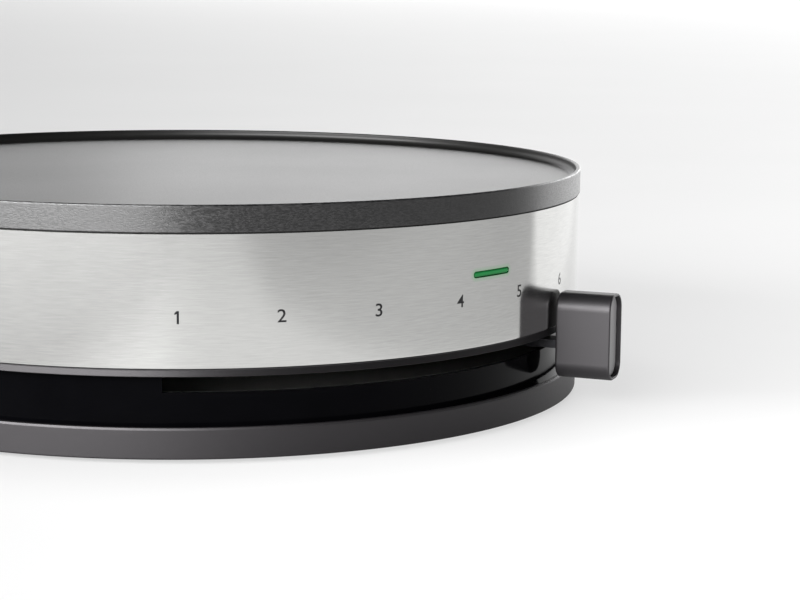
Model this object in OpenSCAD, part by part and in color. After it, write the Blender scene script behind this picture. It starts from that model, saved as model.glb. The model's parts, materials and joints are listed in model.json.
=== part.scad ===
// Electric crepe maker: a cast hot plate on a round housing wrapped in a steel band, and a
// temperature lever whose knob travels round the outside, below the band, from mark 1 to mark 6.
// Millimetres. The origin is on the table, under the plate's centre: +Z is up and -Y is the front.
// An angle round the body counts from the front, and grows towards +X.

/* [Overall] */
// Outside diameter of the steel band and of the base ring
body_d = 330; // [290:1:400]
// How far the hot plate stands out past the band
plate_overhang = 0.5; // [0.2:0.1:2]
// Gap that the feet leave under the base
foot_drop = 2.0; // [1:0.5:6]
// Height of the base ring
base_h = 11.7; // [10:0.1:20]
// Height of the recess between the base ring and the lip
recess_h = 19.3; // [16:0.1:30]
// Depth of the recess, from the band's face to its wall
recess_depth = 5.0; // [3:0.5:7]
// Thickness of the housing's floor and of the lip below the band
floor_t = 2.0; // [1.6:0.1:4]
// Height of the steel band
band_h = 48.7; // [44:0.1:70]

/* [Hot plate] */
// Height of the plate's edge
plate_edge_h = 10.2; // [9:0.1:14]
// Height of the raised rim above the cooking surface
rim_h = 4.0; // [2:0.1:5]
// Thickness of the raised rim
rim_t = 1.9; // [1.2:0.1:4]
// Fillet where the rim meets the cooking surface
rim_fillet = 2.5; // [0.5:0.1:3.5]
// Diameter of the bosses that the plate stands on
plate_boss_d = 16; // [12:1:20]
// Height of those bosses
plate_boss_h = 12; // [11:0.5:14]
// Diameter of the flat pad that the thermostat is screwed to
pad_d = 66; // [62:1:74]
// Height of that pad
pad_h = 4; // [3:0.5:6]

/* [Heating element] */
// Distance from the heating tube's circle to the band's face
heater_inset = 53; // [50:1:60]
// Diameter of the heating tube
heater_tube_d = 8; // [6:0.5:9]
// Width of the cast ridge that holds the tube
ridge_w = 16; // [14:0.5:20]
// Angle left open between the tube's two ends
heater_gap_angle = 20; // [16:1:30]
// Length of the tube's cold ends, which point down
cold_end_l = 16; // [10:1:18]
// Gap between the tube and the ridge
heater_gap = 0.2; // [0.15:0.05:0.4]

/* [Steel band] */
// Thickness of the steel sheet
band_t = 0.8; // [0.5:0.1:1.2]
// Width of the edge folded in at the top
hem_w = 3.0; // [2:0.1:5]
// Seam between the lip and the band
band_seam = 0.3; // [0.2:0.1:1]
// Seam between the band and the plate
plate_seam = 0.45; // [0.3:0.05:1]

/* [Housing] */
// Thickness of the moulded walls
wall_t = 2.6; // [2:0.1:4]
// How far the lip stays behind the band's face
lip_inset = 0.6; // [0.2:0.1:1.5]
// Distance from the circle of screws to the band's face
screw_ring_inset = 25; // [22:1:30]
// Diameter of the pillars under the plate's bosses
pillar_d = 16; // [14:1:20]
// Number of stiffening ribs on the floor
rib_count = 12; // [6:6:24]
// Height of those ribs
rib_h = 6; // [3:0.5:8]
// Length of those ribs, in from the wall
rib_l = 45; // [20:1:50]
// Thickness of each rib
rib_t = 2; // [1.2:0.2:3]

/* [Base] */
// Thickness of the base ring's wall
ring_t = 1.6; // [1.2:0.1:3]
// How far the ledge lies below the base ring's top edge
ledge_drop = 0.8; // [0:0.1:2]
// Chamfer on the base ring's edges
ring_chamfer = 0.5; // [0.2:0.1:1]
// Thickness of the tray, the base ring's flange and the cover
sheet_t = 2.0; // [1.6:0.1:3]
// Diameter of a foot
foot_d = 18; // [12:1:24]
// How deep a foot sits in the cover
foot_seat = 1.2; // [0.8:0.1:1.4]
// Number of vent slots in each ring of slots
vent_count = 24; // [12:2:30]
// Length of a vent slot
vent_l = 18; // [10:1:20]
// Width of a vent slot
vent_w = 2.6; // [2:0.1:4]

/* [Temperature lever] */
// Angle of mark 1
mark_first = -2.1; // [-10:0.1:5]
// Angle between two marks
mark_pitch = 13.04; // [10:0.01:14]
// Number of marks
mark_count = 6; // [4:1:6]
// Width of the knob, along the rim
knob_w = 17.4; // [14:0.1:24]
// Height of the knob
knob_h = 34.7; // [30:0.1:44]
// Length of the knob, outwards
knob_l = 22.7; // [18:0.1:40]
// Radius of the knob's long edges
knob_corner_r = 6.5; // [3:0.1:6.8]
// Radius round the knob's two ends
knob_edge_r = 1.0; // [0.4:0.1:1.5]
// Gap between the knob and the band
knob_gap = 1.3; // [0.8:0.1:4]
// Gap between the knob and the level of the base ring's top edge
knob_clear = 0.8; // [0.5:0.1:3]
// Depth of the hollow in the knob's end
knob_hollow = 1.9; // [0.5:0.1:3]
// Thickness of the lever arm
arm_t = 3.3; // [2:0.1:4]
// Width of the arm where it leaves the wall
arm_w = 10; // [8:0.5:12]
// Height of the arm's underside above the base ring's top edge
arm_rise = 12.65; // [10:0.05:13]
// Length of the arm inside the knob
tang_l = 15; // [12:0.5:16]

/* [Indicator] */
// Angle of the indicator's middle
lens_angle = 43.4; // [40:0.1:46]
// Height of the indicator above the band's lower edge
lens_rise = 28; // [22:0.1:34]
// Length of the indicator's slot
lens_l = 21; // [12:0.5:24]
// Height of the indicator's slot
lens_h = 2.3; // [1.6:0.1:4]

/* [Cord inlet] */
// Diameter of the hole for the mains cord
cord_hole_d = 7.4; // [6:0.1:9]
// Outside diameter of the gland's flange
gland_flange_d = 15; // [13:0.5:15.5]

/* [Clearances] */
// Gap between pieces that are pushed together
push_gap = 0.2; // [0.1:0.05:0.4]
// Gap all round a shaft that turns in its bore
running_gap = 0.05; // [0.02:0.01:0.08]
// Gap between the lever and what it passes
travel_gap = 0.75; // [0.5:0.05:1]
// End play of the lever on its bearing
end_play = 0.3; // [0.2:0.05:0.5]

/* [Hidden] */
$fn = 96;
overlap = 0.5;                  // extra length where one shape runs into the next, or a cut runs past
back = 180;                     // angle of the side that faces away from the user

// Heights of the layers, from the table up
z_base = foot_drop;
z_ring_top = z_base + base_h;
z_floor = z_ring_top + recess_h;
z_inside = z_floor + floor_t;
z_band = z_inside + band_seam;
z_band_top = z_band + band_h;
z_plate = z_band_top + plate_seam;
z_top = z_plate + plate_edge_h;
z_surface = z_top - rim_h;
z_lens = z_band + lens_rise;
z_ledge = z_ring_top - ledge_drop;
z_tray = z_ledge - sheet_t;
z_cover_top = z_base + sheet_t;

// Radii of the layers
body_r = body_d / 2;
plate_r = body_r + plate_overhang;
band_in_r = body_r - band_t;
wall_out_r = band_in_r - push_gap;
wall_in_r = wall_out_r - wall_t;
lip_r = body_r - lip_inset;
recess_r = body_r - recess_depth;
recess_in_r = recess_r - wall_t;
ring_in_r = body_r - ring_t;
ledge_r = ring_in_r - 2 * push_gap;
screw_ring_r = body_r - screw_ring_inset;
heater_r = body_r - heater_inset;

// Screws: hole diameters leave the shank free, and heads sit in counterbores
plate_screw_d = 5;
plate_head_d = 9;
plate_head_h = 4;
base_screw_d = 3.8;
base_head_d = 7.6;
base_head_h = 2.4;
small_screw_d = 3;
small_head_d = 5.5;
small_head_h = 2.2;
screw_gap = 0.1;
head_room = 1;                  // how much wider a counterbore is than its screw's head
tapped_depth = 4;               // depth of the small tapped holes in the plate
plate_screw_angles = [90, 210, 330];
base_screw_angles = [for (i = [0:4]) 100 + 51 * i];
foot_angles = [45, 135, 225, 315];

// Supports of the plate: pillar, heat shield, insulating washer, boss
shield_t = 0.6;
shield_inset = 5.4;             // gap between the heat shield and the housing's wall
washer_t = 1.85;
z_boss = z_plate - plate_boss_h;
z_pillar_top = z_boss - washer_t - shield_t;
plate_head_depth = 14;          // how deep a plate screw's head sits in its pillar
z_plate_head = z_pillar_top - plate_head_depth;
plate_screw_grip = 8;           // how far the screw reaches into the plate's boss

// Base: where the screws clamp the layers
boss_wall = 2.7;
cover_boss_h = 3.5;
z_cover_boss = z_cover_top + cover_boss_h;
z_base_head = z_cover_boss - sheet_t;
housing_boss_h = 15;
base_screw_grip = 10;           // how far the screw reaches into the housing's boss
tray_hole_r = 60;
ring_flange_w = 13.4;
foot_boss_wall = 2;             // wall round a foot's pocket, on the cover's inner side
foot_boss_h = 1.5;
foot_button_t = 1.2;            // rubber button that holds the foot from inside
first_vent_r = 48;
vent_row_pitch = vent_l + 8;

// Lever: hub, journal and bearing on the body's axis
lever_angle = mark_first + (mark_count - 1) * mark_pitch;
z_arm = z_ring_top + arm_rise;
z_arm_top = z_arm + arm_t;
journal_d = 12;
hub_flange_d = 30;
hub_flange_t = 3.3;
bearing_wall = 5;
bearing_h = 12;
z_bearing_top = z_floor + bearing_h;
clip_t = 1.0;
clip_groove = 1.0;
z_clip = z_bearing_top + end_play;
z_hub_top = z_clip + clip_t + 2;
spindle_d = 6;
spindle_flat = 1.0;             // how much the flat takes off the spindle's round
spindle_seat = 16;              // length of the spindle inside the hub
hub_screw_r = 9.5;
arm_eye_d = 28;
arm_root_w = 20;
arm_taper_end = 12;             // distance from the wall where the arm's sides become parallel
knob_in_r = body_r + knob_gap;
knob_out_r = knob_in_r + knob_l;
z_knob = z_ring_top + knob_clear;
knob_wall = 1.1;
cap_t = 1.2;
knob_screw_at = 7.5;            // distance of the knob's screw from its inner end
arm_half_angle = asin((arm_w / 2 + travel_gap) / recess_in_r);

// Thermostat, hung under the plate's pad
z_pad = z_plate - pad_h;
frame_t = 1.2;
frame_w = 16;
frame_half_l = 20;
frame_drop = 20.5;              // how far the frame hangs below the pad
z_frame = z_pad - frame_drop;
ear_l = 12;
ear_screw_x = frame_half_l + 7;
window_room = 1;                // room round the blades in the frame's side
bush_d = 10;
nut_d = 16;
nut_h = 2.8;
stack_x = -12;
bead_d = 9;
bead_h = 3.5;
blade_t = 0.4;
blade_w = 6.5;
contact_d = 4;
contact_h = 1;
rivet_d = 3;
z_spindle_top = z_frame + frame_t + bead_h - end_play;

// Heating tube in its ridge
z_heater = z_plate - heater_tube_d / 2;
ridge_h = heater_tube_d - 1;
heater_pin_d = 3;
heater_pin_l = 6;
collar_h = 5;
tab_w = 6.3;
tab_t = 0.8;
tab_l = 9;

// Fuse under the plate, between the pad and the ridge
fuse_r = (pad_d / 2 + heater_r - ridge_w / 2) / 2;
fuse_d = 4;
fuse_l = 12;
sleeve_d = 5.4;
sleeve_l = 17;
clamp_t = 0.8;
clamp_w = 7;
clamp_ear = 9;
z_fuse = z_plate - sleeve_d / 2;

// Lamp behind the lens
lens_gap = 0.15;
lens_inset = 0.3;
lens_flange_t = 2.4;
lens_flange_w = 2;              // how far the flange stands out at the slot's ends
lens_flange_r = wall_in_r - push_gap;
holder_l = 26;
holder_w = 9;
holder_h = 12;
lamp_d = 5.8;
lamp_l = 17;
holder_out_r = lens_flange_r - lens_flange_t - push_gap;
post_l = 14;

// Terminal block on the housing's floor, behind the thermostat
block_l = 36;
block_w = 16;
block_h = 13;
block_r = heater_r - 24;        // between the thermostat and the heating tube
pole_pitch = 11;
pole_d = 4;

// Earth tab on the plate, between the pad and the heating tube
earth_r = heater_r - 28;
earth_w = 8;
earth_l = 12;

// Cord gland in the back of the recess wall
z_gland = (z_ring_top + sheet_t + z_floor) / 2;
gland_flange_t = 2.5;
gland_neck_d = 11;
gland_nut_d = 17;
gland_nut_t = 4;
gland_tail = 3;
gland_nut_r = sqrt(pow(recess_in_r, 2) - pow(gland_nut_d / 2, 2)) - screw_gap;

// Puts its children on a circle round the axis, at an angle from the front
module on_ring(angle, r) {
    rotate([0, 0, angle]) translate([0, -r, 0]) children();
}

// Turns an outline drawn in X and Z to stand upright, and thickens it inwards and outwards
module upright(t) {
    rotate([90, 0, 0]) linear_extrude(t, center = true) children();
}

// Cuts or fills a corner at the origin with a round of radius r, in the first quadrant
module round_corner(r) {
    difference() {
        square(r);
        translate([r, r]) circle(r);
    }
}

// Cuts a corner at the origin straight, in the first quadrant
module straight_corner(c) {
    polygon([[0, 0], [c, 0], [0, c]]);
}

// Rectangle with two half-round ends
module stadium(l, h) {
    square([l - h, h], center = true);
    for (side = [-1, 1]) translate([side * (l - h) / 2, 0]) circle(d = h);
}

// Rectangle with four round corners
module round_rect(w, h, r) {
    square([w - 2 * r, h], center = true);
    square([w, h - 2 * r], center = true);
    for (x = [-1, 1], y = [-1, 1]) translate([x * (w / 2 - r), y * (h / 2 - r)]) circle(r);
}

// Ring with a square section, from z up
module ring(r_in, r_out, z, h) {
    translate([0, 0, z]) difference() {
        cylinder(r = r_out, h = h);
        translate([0, 0, -overlap]) cylinder(r = r_in, h = h + 2 * overlap);
    }
}

// Pan-head screw that points up: its head is below z, its shank above
module screw(z, d, l, head_d, head_h) {
    translate([0, 0, z - head_h]) cylinder(d = head_d, h = head_h);
    translate([0, 0, z - head_h / 2]) cylinder(d = d, h = l + head_h / 2);
}

// Round bar from z up, for a post or to cut a hole
module rod(z, d, h) {
    translate([0, 0, z]) cylinder(d = d, h = h);
}

// ---- Hot plate and its heater ----

// Section of the plate: disc, raised rim with a fillet at its foot, and the heater's ridge
module plate_section() {
    difference() {
        union() {
            translate([0, z_plate]) square([plate_r, z_surface - z_plate]);
            translate([plate_r - rim_t, z_plate]) square([rim_t, plate_edge_h]);
            translate([plate_r - rim_t, z_surface]) mirror([1, 0]) round_corner(rim_fillet);
            translate([heater_r - ridge_w / 2, z_plate - ridge_h]) square([ridge_w, ridge_h + overlap]);
        }
        translate([plate_r, z_top]) mirror([1, 0]) mirror([0, 1]) round_corner(rim_t / 3);
        translate([plate_r - rim_t, z_top]) mirror([0, 1]) round_corner(rim_t / 3);
        translate([plate_r, z_plate]) mirror([1, 0]) straight_corner(ring_chamfer);
        translate([heater_r, z_heater]) circle(d = heater_tube_d + 2 * heater_gap);
        translate([heater_r - heater_tube_d / 2 - heater_gap, z_plate - ridge_h - overlap])
            square([heater_tube_d + 2 * heater_gap, z_heater - z_plate + ridge_h + overlap]);
    }
}

module hot_plate() {
    color("dimgray") difference() {
        union() {
            rotate_extrude() plate_section();
            rod(z_pad, pad_d, pad_h + overlap);
            for (a = plate_screw_angles)
                on_ring(a, screw_ring_r) rod(z_boss, plate_boss_d, plate_boss_h + overlap);
        }
        for (a = plate_screw_angles)
            on_ring(a, screw_ring_r)
                rod(z_boss - overlap, plate_screw_d + screw_gap, plate_screw_grip + 2 * overlap);
        for (side = [-1, 1])
            translate([side * ear_screw_x, 0, 0])
                rod(z_pad - overlap, small_screw_d + screw_gap, pad_h + overlap);
        translate([-fuse_r, clamp_ear, 0]) rod(z_plate - overlap, small_screw_d + screw_gap, tapped_depth);
        on_ring(back, earth_r) rod(z_plate - overlap, small_screw_d + screw_gap, tapped_depth);
    }
}

// Both places where the heating tube turns down
module at_cold_ends() {
    for (side = [-1, 1])
        on_ring(back + side * heater_gap_angle / 2, heater_r) children();
}

module heating_element() {
    color("darkslategray") {
        rotate([0, 0, back + heater_gap_angle / 2 - 90])
            rotate_extrude(angle = 360 - heater_gap_angle)
                translate([heater_r, z_heater]) circle(d = heater_tube_d);
        at_cold_ends() {
            translate([0, 0, z_heater]) sphere(d = heater_tube_d);
            rod(z_heater - cold_end_l, heater_tube_d, cold_end_l);
            rod(z_heater - cold_end_l - collar_h - heater_pin_l, heater_pin_d,
                collar_h + heater_pin_l + overlap);
        }
    }
}

module heater_collars() {
    color("ivory") at_cold_ends() {
        ring(heater_pin_d / 2 + screw_gap, heater_tube_d / 2, z_heater - cold_end_l - collar_h, collar_h);
    }
}

module heater_tabs() {
    color("silver") at_cold_ends() {
        translate([-tab_w / 2, -tab_t / 2, z_heater - cold_end_l - collar_h - heater_pin_l - tab_l])
            cube([tab_w, tab_t, tab_l]);
    }
}

module plate_gasket() {
    color("black") ring(band_in_r - hem_w, body_r - band_t, z_band_top, plate_seam);
}

module heat_shield() {
    shield_r = wall_in_r - shield_inset;
    rim = 8;
    throat_r = pad_d / 2 + 1;
    color("gainsboro") difference() {
        union() {
            ring(throat_r, shield_r, z_pillar_top, shield_t);
            ring(shield_r - shield_t, shield_r, z_pillar_top, rim);
            ring(throat_r, throat_r + shield_t, z_pillar_top, rim / 2);
        }
        for (a = plate_screw_angles)
            on_ring(a, screw_ring_r)
                rod(z_pillar_top - overlap, plate_screw_d + 4 * screw_gap, shield_t + 2 * overlap);
        at_cold_ends() rod(z_pillar_top - overlap, 2 * heater_tube_d, shield_t + 2 * overlap);
    }
}

module shield_washers() {
    color("wheat") for (a = plate_screw_angles)
        on_ring(a, screw_ring_r)
            ring(plate_screw_d / 2 + 2 * screw_gap, plate_boss_d / 2, z_boss - washer_t, washer_t);
}

module plate_screws() {
    length = z_boss - z_plate_head + plate_screw_grip;
    color("silver") for (a = plate_screw_angles)
        on_ring(a, screw_ring_r)
            screw(z_plate_head, plate_screw_d, length, plate_head_d, plate_head_h);
}

// ---- Band and housing ----

module lens_cut(grow) {
    on_ring(lens_angle, body_r - wall_t) translate([0, 0, z_lens])
        upright(4 * wall_t) stadium(lens_l + 2 * grow, lens_h + 2 * grow);
}

module steel_band() {
    color("silver") difference() {
        rotate_extrude() difference() {
            union() {
                translate([band_in_r, z_band]) square([band_t, band_h]);
                translate([band_in_r - hem_w, z_band_top - band_t]) square([hem_w + band_t, band_t]);
            }
            translate([body_r, z_band_top]) mirror([1, 0]) mirror([0, 1]) round_corner(band_t / 2);
        }
        lens_cut(0);
    }
}

// Section of the housing: floor with its lip, bearing and outer wall
module housing_section() {
    bearing_in_r = journal_d / 2 + running_gap;
    difference() {
        translate([bearing_in_r, z_floor]) square([lip_r - bearing_in_r, floor_t]);
        translate([lip_r, z_floor]) mirror([1, 0]) straight_corner(lip_inset / 2);
    }
    translate([bearing_in_r, z_floor]) square([bearing_wall, bearing_h]);
    translate([wall_in_r, z_floor]) square([wall_t, z_band_top - band_t - z_floor]);
}

module upper_housing() {
    post_top = z_lens - holder_h / 2;
    color([0.25, 0.24, 0.24]) difference() {
        union() {
            rotate_extrude() housing_section();
            for (a = plate_screw_angles)
                on_ring(a, screw_ring_r) rod(z_floor, pillar_d, z_pillar_top - z_floor);
            for (a = base_screw_angles)
                on_ring(a, screw_ring_r) rod(z_floor, base_screw_d + 2 * boss_wall, housing_boss_h);
            for (i = [0:rib_count - 1])
                on_ring((i + 0.5) * 360 / rib_count, wall_in_r)
                    translate([-rib_t / 2, -overlap, z_floor])
                        cube([rib_t, rib_l + overlap, floor_t + rib_h]);
            on_ring(lens_angle, holder_out_r - holder_w)
                translate([-post_l / 2, 0, z_floor]) cube([post_l, holder_w - 1, post_top - z_floor]);
        }
        for (a = plate_screw_angles)
            on_ring(a, screw_ring_r) {
                rod(z_floor - overlap, plate_head_d + head_room, z_plate_head - z_floor + overlap);
                rod(z_floor, plate_screw_d + 4 * screw_gap, z_pillar_top);
            }
        for (a = base_screw_angles)
            on_ring(a, screw_ring_r)
                rod(z_floor - overlap, base_screw_d + screw_gap, base_screw_grip + 2 * overlap);
        lens_cut(push_gap);
    }
}

// Drum that closes the recess: open at the top where the arm sweeps, so that it goes on from below
module recess_wall() {
    first = mark_first - arm_half_angle;
    sweep = lever_angle + arm_half_angle - first;
    foot_w = 7;
    color([0.03, 0.03, 0.03]) difference() {
        union() {
            ring(recess_in_r, recess_r, z_ledge, z_floor - z_ledge);
            ring(recess_in_r - foot_w, recess_in_r + overlap, z_ledge, sheet_t);
        }
        rotate([0, 0, first - 90]) rotate_extrude(angle = sweep)
            translate([recess_in_r - overlap, z_arm - travel_gap])
                square([wall_t + 2 * overlap, z_floor - z_arm + travel_gap + overlap]);
        on_ring(back, recess_r - wall_t / 2) translate([0, 0, z_gland])
            upright(3 * wall_t) circle(d = gland_neck_d + 2 * screw_gap);
    }
}

module base_tray() {
    color([0.03, 0.03, 0.03]) difference() {
        union() {
            ring(tray_hole_r, ledge_r, z_tray, sheet_t);
            ring(tray_hole_r, tray_hole_r + sheet_t, z_tray, 2 * sheet_t);
            for (a = base_screw_angles)
                on_ring(a, screw_ring_r)
                    rod(z_cover_boss, base_screw_d + 3 * boss_wall, z_floor - z_cover_boss);
        }
        for (a = base_screw_angles)
            on_ring(a, screw_ring_r)
                rod(z_cover_boss - overlap, base_screw_d + 4 * screw_gap,
                    z_floor - z_cover_boss + 2 * overlap);
    }
}

module base_ring() {
    color([0.27, 0.26, 0.26]) rotate_extrude() difference() {
        union() {
            translate([ring_in_r, z_base]) square([ring_t, base_h]);
            translate([ring_in_r - ring_flange_w, z_tray - sheet_t])
                square([ring_flange_w + ring_t / 2, sheet_t]);
        }
        translate([body_r, z_ring_top]) mirror([1, 0]) mirror([0, 1]) straight_corner(ring_chamfer);
        translate([body_r, z_base]) mirror([1, 0]) straight_corner(ring_chamfer);
    }
}

module base_cover() {
    clamp_in_r = ring_in_r - ring_flange_w + 1;
    color([0.08, 0.08, 0.08]) difference() {
        union() {
            rod(z_base, 2 * ledge_r, sheet_t);
            ring(clamp_in_r, clamp_in_r + sheet_t, z_base, z_tray - sheet_t - z_base);
            for (a = base_screw_angles)
                on_ring(a, screw_ring_r) rod(z_base, base_head_d + 2 * boss_wall, z_cover_boss - z_base);
            for (a = foot_angles)
                on_ring(a, screw_ring_r) rod(z_base, foot_d + 2 * foot_boss_wall, sheet_t + foot_boss_h);
        }
        for (a = base_screw_angles)
            on_ring(a, screw_ring_r) {
                rod(z_base - overlap, base_head_d + head_room, z_base_head - z_base + overlap);
                rod(z_base, base_screw_d + 4 * screw_gap, z_cover_boss);
            }
        for (a = foot_angles)
            on_ring(a, screw_ring_r) {
                rod(z_base - overlap, foot_d + 2 * push_gap, foot_seat + overlap);
                rod(z_base, foot_d / 3, 2 * sheet_t);
            }
        for (row = [0, 1], i = [0:vent_count - 1])
            on_ring((i + row / 2) * 360 / vent_count, first_vent_r + row * vent_row_pitch + vent_l / 2)
                translate([0, 0, z_base - overlap])
                    linear_extrude(sheet_t + 2 * overlap) rotate(90) stadium(vent_l, vent_w);
    }
}

module rubber_feet() {
    stem_d = foot_d / 3 - 2 * screw_gap;
    z_seat = z_base + foot_seat;
    z_button = z_cover_top + foot_boss_h;
    color([0.12, 0.12, 0.12]) for (a = foot_angles)
        on_ring(a, screw_ring_r) {
            cylinder(d1 = foot_d - 2, d2 = foot_d, h = 1);
            rod(1, foot_d, z_seat - 1);
            rod(z_seat - overlap, stem_d, z_button - z_seat + 2 * overlap);
            rod(z_button, stem_d + 2, foot_button_t);
        }
}

module base_screws() {
    length = z_floor - z_base_head + base_screw_grip;
    color("silver") for (a = base_screw_angles)
        on_ring(a, screw_ring_r)
            screw(z_base_head, base_screw_d, length, base_head_d, base_head_h);
}

// ---- Thermostat ----

module thermostat_frame() {
    leg_h = z_pad - z_frame;
    window_w = blade_w + 2 * window_room;
    color("silver") difference() {
        upright(frame_w) {
            translate([-frame_half_l, z_frame]) square([2 * frame_half_l, frame_t]);
            for (side = [0, 1]) mirror([side, 0]) {
                translate([frame_half_l - frame_t, z_frame]) square([frame_t, leg_h]);
                translate([frame_half_l - frame_t, z_pad - frame_t]) square([ear_l + frame_t, frame_t]);
            }
        }
        translate([-frame_half_l - overlap, -window_w / 2, z_bead(0) + bead_h - window_room])
            cube([2 * overlap + frame_t, window_w, bead_h + 2 * blade_t + 2 * window_room]);
        rod(z_frame - overlap, bush_d + 2 * screw_gap, frame_t + 2 * overlap);
        translate([stack_x, 0, 0]) rod(z_frame - overlap, rivet_d + 2 * screw_gap, frame_t + 2 * overlap);
        for (side = [-1, 1])
            translate([side * ear_screw_x, 0, 0])
                rod(z_pad - frame_t - overlap, small_screw_d + 4 * screw_gap, frame_t + 2 * overlap);
    }
}

module thermostat_bushing() {
    shoulder_t = 1.5;
    below = 5;
    color("goldenrod") difference() {
        union() {
            rod(z_frame - below, bush_d, below + frame_t + shoulder_t);
            translate([0, 0, z_frame - nut_h]) cylinder(d = nut_d, h = nut_h, $fn = 6);
            rod(z_frame + frame_t, bush_d + 3, shoulder_t);
        }
        rod(z_frame - below - overlap, spindle_d + 2 * running_gap,
            below + frame_t + shoulder_t + 2 * overlap);
    }
}

// Height of the n-th bead in the stack, with a blade between each two
function z_bead(n) = z_frame + frame_t + n * (bead_h + blade_t);

module thermostat_beads() {
    color("ivory") for (n = [0:2])
        translate([stack_x, 0, 0])
            ring(rivet_d / 2 + screw_gap, bead_d / 2, z_bead(n), bead_h);
}

module contact_blades() {
    tail = 16;
    reach = 18;
    color("peru") for (n = [0, 1])
        translate([stack_x, 0, z_bead(n) + bead_h]) difference() {
            union() {
                translate([-tail, -blade_w / 2, 0]) cube([tail + reach, blade_w, blade_t]);
                if (n == 1)
                    translate([reach - blade_w / 2, 0, -contact_h])
                        cylinder(d = contact_d, h = contact_h + blade_t / 2);
            }
            rod(-overlap, rivet_d + 2 * screw_gap, 2 * overlap + blade_t);
        }
}

module thermostat_rivet() {
    head_t = 1;
    top = z_bead(2) + bead_h;
    color("silver") translate([stack_x, 0, 0]) {
        rod(z_frame - head_t, rivet_d + 2, head_t);
        rod(z_frame - head_t / 2, rivet_d, top - z_frame + head_t);
        rod(top, rivet_d + 2, head_t);
    }
}

module thermostat_screws() {
    color("silver") for (side = [-1, 1])
        translate([side * ear_screw_x, 0, 0])
            screw(z_pad - frame_t, small_screw_d, frame_t + pad_h - 1, small_head_d, small_head_h);
}

module bimetal_strip() {
    strip_l = 26;
    strip_w = 9;
    color("rosybrown") translate([-strip_l / 2, -strip_w / 2, z_pad - 2 * blade_t])
        cube([strip_l, strip_w, 2 * blade_t]);
}

// ---- Fuse, lamp and terminals ----

module at_fuse() {
    translate([-fuse_r, 0, z_fuse]) rotate([0, 90, 0]) children();
}

module thermal_fuse() {
    color("gold") at_fuse() cylinder(d = fuse_d, h = fuse_l, center = true);
}

module fuse_sleeve() {
    color("khaki") at_fuse() difference() {
        cylinder(d = sleeve_d, h = sleeve_l, center = true);
        cylinder(d = fuse_d + 2 * screw_gap, h = sleeve_l + 2 * overlap, center = true);
    }
}

// Strap over the sleeve: a half ring, closed by flat sides, with one screwed ear
module fuse_clamp() {
    inner = sleeve_d / 2 + screw_gap;
    outer = inner + clamp_t;
    color("silver") difference() {
        translate([-fuse_r, 0, 0]) rotate([0, 0, 90]) upright(clamp_w) {
            difference() {
                translate([0, z_fuse]) circle(outer);
                translate([0, z_fuse]) circle(inner);
                translate([-2 * outer, z_fuse]) square(4 * outer);
            }
            for (side = [0, 1]) mirror([side, 0])
                translate([inner, z_fuse - screw_gap]) square([clamp_t, z_plate - z_fuse + screw_gap]);
            translate([inner, z_plate - clamp_t]) square([2 * clamp_ear - 2 * inner, clamp_t]);
        }
        translate([-fuse_r, clamp_ear, 0])
            rod(z_plate - clamp_t - overlap, small_screw_d + 2 * screw_gap, clamp_t + 2 * overlap);
    }
}

module fuse_screw() {
    color("silver") translate([-fuse_r, clamp_ear, 0])
        screw(z_plate - clamp_t, small_screw_d, clamp_t + 3, small_head_d, small_head_h);
}

// Light pipe: its face follows the band, and a flange keeps it behind the housing's wall
module indicator_lens() {
    length = body_r - lens_inset - lens_flange_r + lens_flange_t;
    color("limegreen") intersection() {
        union() {
            on_ring(lens_angle, body_r - length / 2) translate([0, 0, z_lens])
                upright(length + 2) stadium(lens_l - 2 * lens_gap, lens_h - 2 * lens_gap);
            on_ring(lens_angle, lens_flange_r - lens_flange_t / 2 - 1) translate([0, 0, z_lens])
                upright(lens_flange_t + 2) round_rect(lens_l + 2 * lens_flange_w, 3 * lens_h, 1);
        }
        difference() {
            cylinder(r = body_r - lens_inset, h = z_top);
            translate([0, 0, -1]) cylinder(r = lens_flange_r - lens_flange_t, h = z_top + 2);
        }
        union() {
            cylinder(r = lens_flange_r, h = z_top);
            lens_cut(-lens_gap);
        }
    }
}

module at_lamp() {
    on_ring(lens_angle, holder_out_r - holder_w / 2) translate([0, 0, z_lens]) children();
}

module indicator_lamp() {
    color("orange") at_lamp() rotate([0, 90, 0]) cylinder(d = lamp_d, h = lamp_l, center = true);
}

module lamp_holder() {
    side_t = (holder_l - lamp_l) / 2 - push_gap;
    seat_d = lamp_d + 2 * push_gap;
    color("whitesmoke") at_lamp() difference() {
        intersection() {
            cube([holder_l, holder_w, holder_h], center = true);
            translate([0, holder_out_r - holder_w / 2, -holder_h])
                cylinder(r = holder_out_r, h = 2 * holder_h);
        }
        rotate([0, 90, 0]) cylinder(d = seat_d, h = holder_l - 2 * side_t, center = true);
        translate([0, -holder_w / 2, 0])
            cube([holder_l - 2 * side_t, holder_w, seat_d], center = true);
    }
}

module terminal_block() {
    color("ivory") on_ring(back, block_r) difference() {
        translate([-block_l / 2, -block_w / 2, z_inside]) cube([block_l, block_w, block_h]);
        for (n = [-1:1]) translate([n * pole_pitch, 0, 0]) {
            translate([0, 0, z_inside + block_h / 2]) upright(2 * block_w) circle(d = pole_d);
            for (side = [-1, 1]) translate([0, side * block_w / 4, 0])
                rod(z_inside + block_h / 2, pole_d, block_h);
        }
    }
}

module terminal_screws() {
    color("silver") on_ring(back, block_r) for (n = [-1:1], side = [-1, 1])
        translate([n * pole_pitch, side * block_w / 4, 0])
            rod(z_inside + block_h / 2, pole_d - 2 * screw_gap, block_h / 2 - 1);
}

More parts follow.
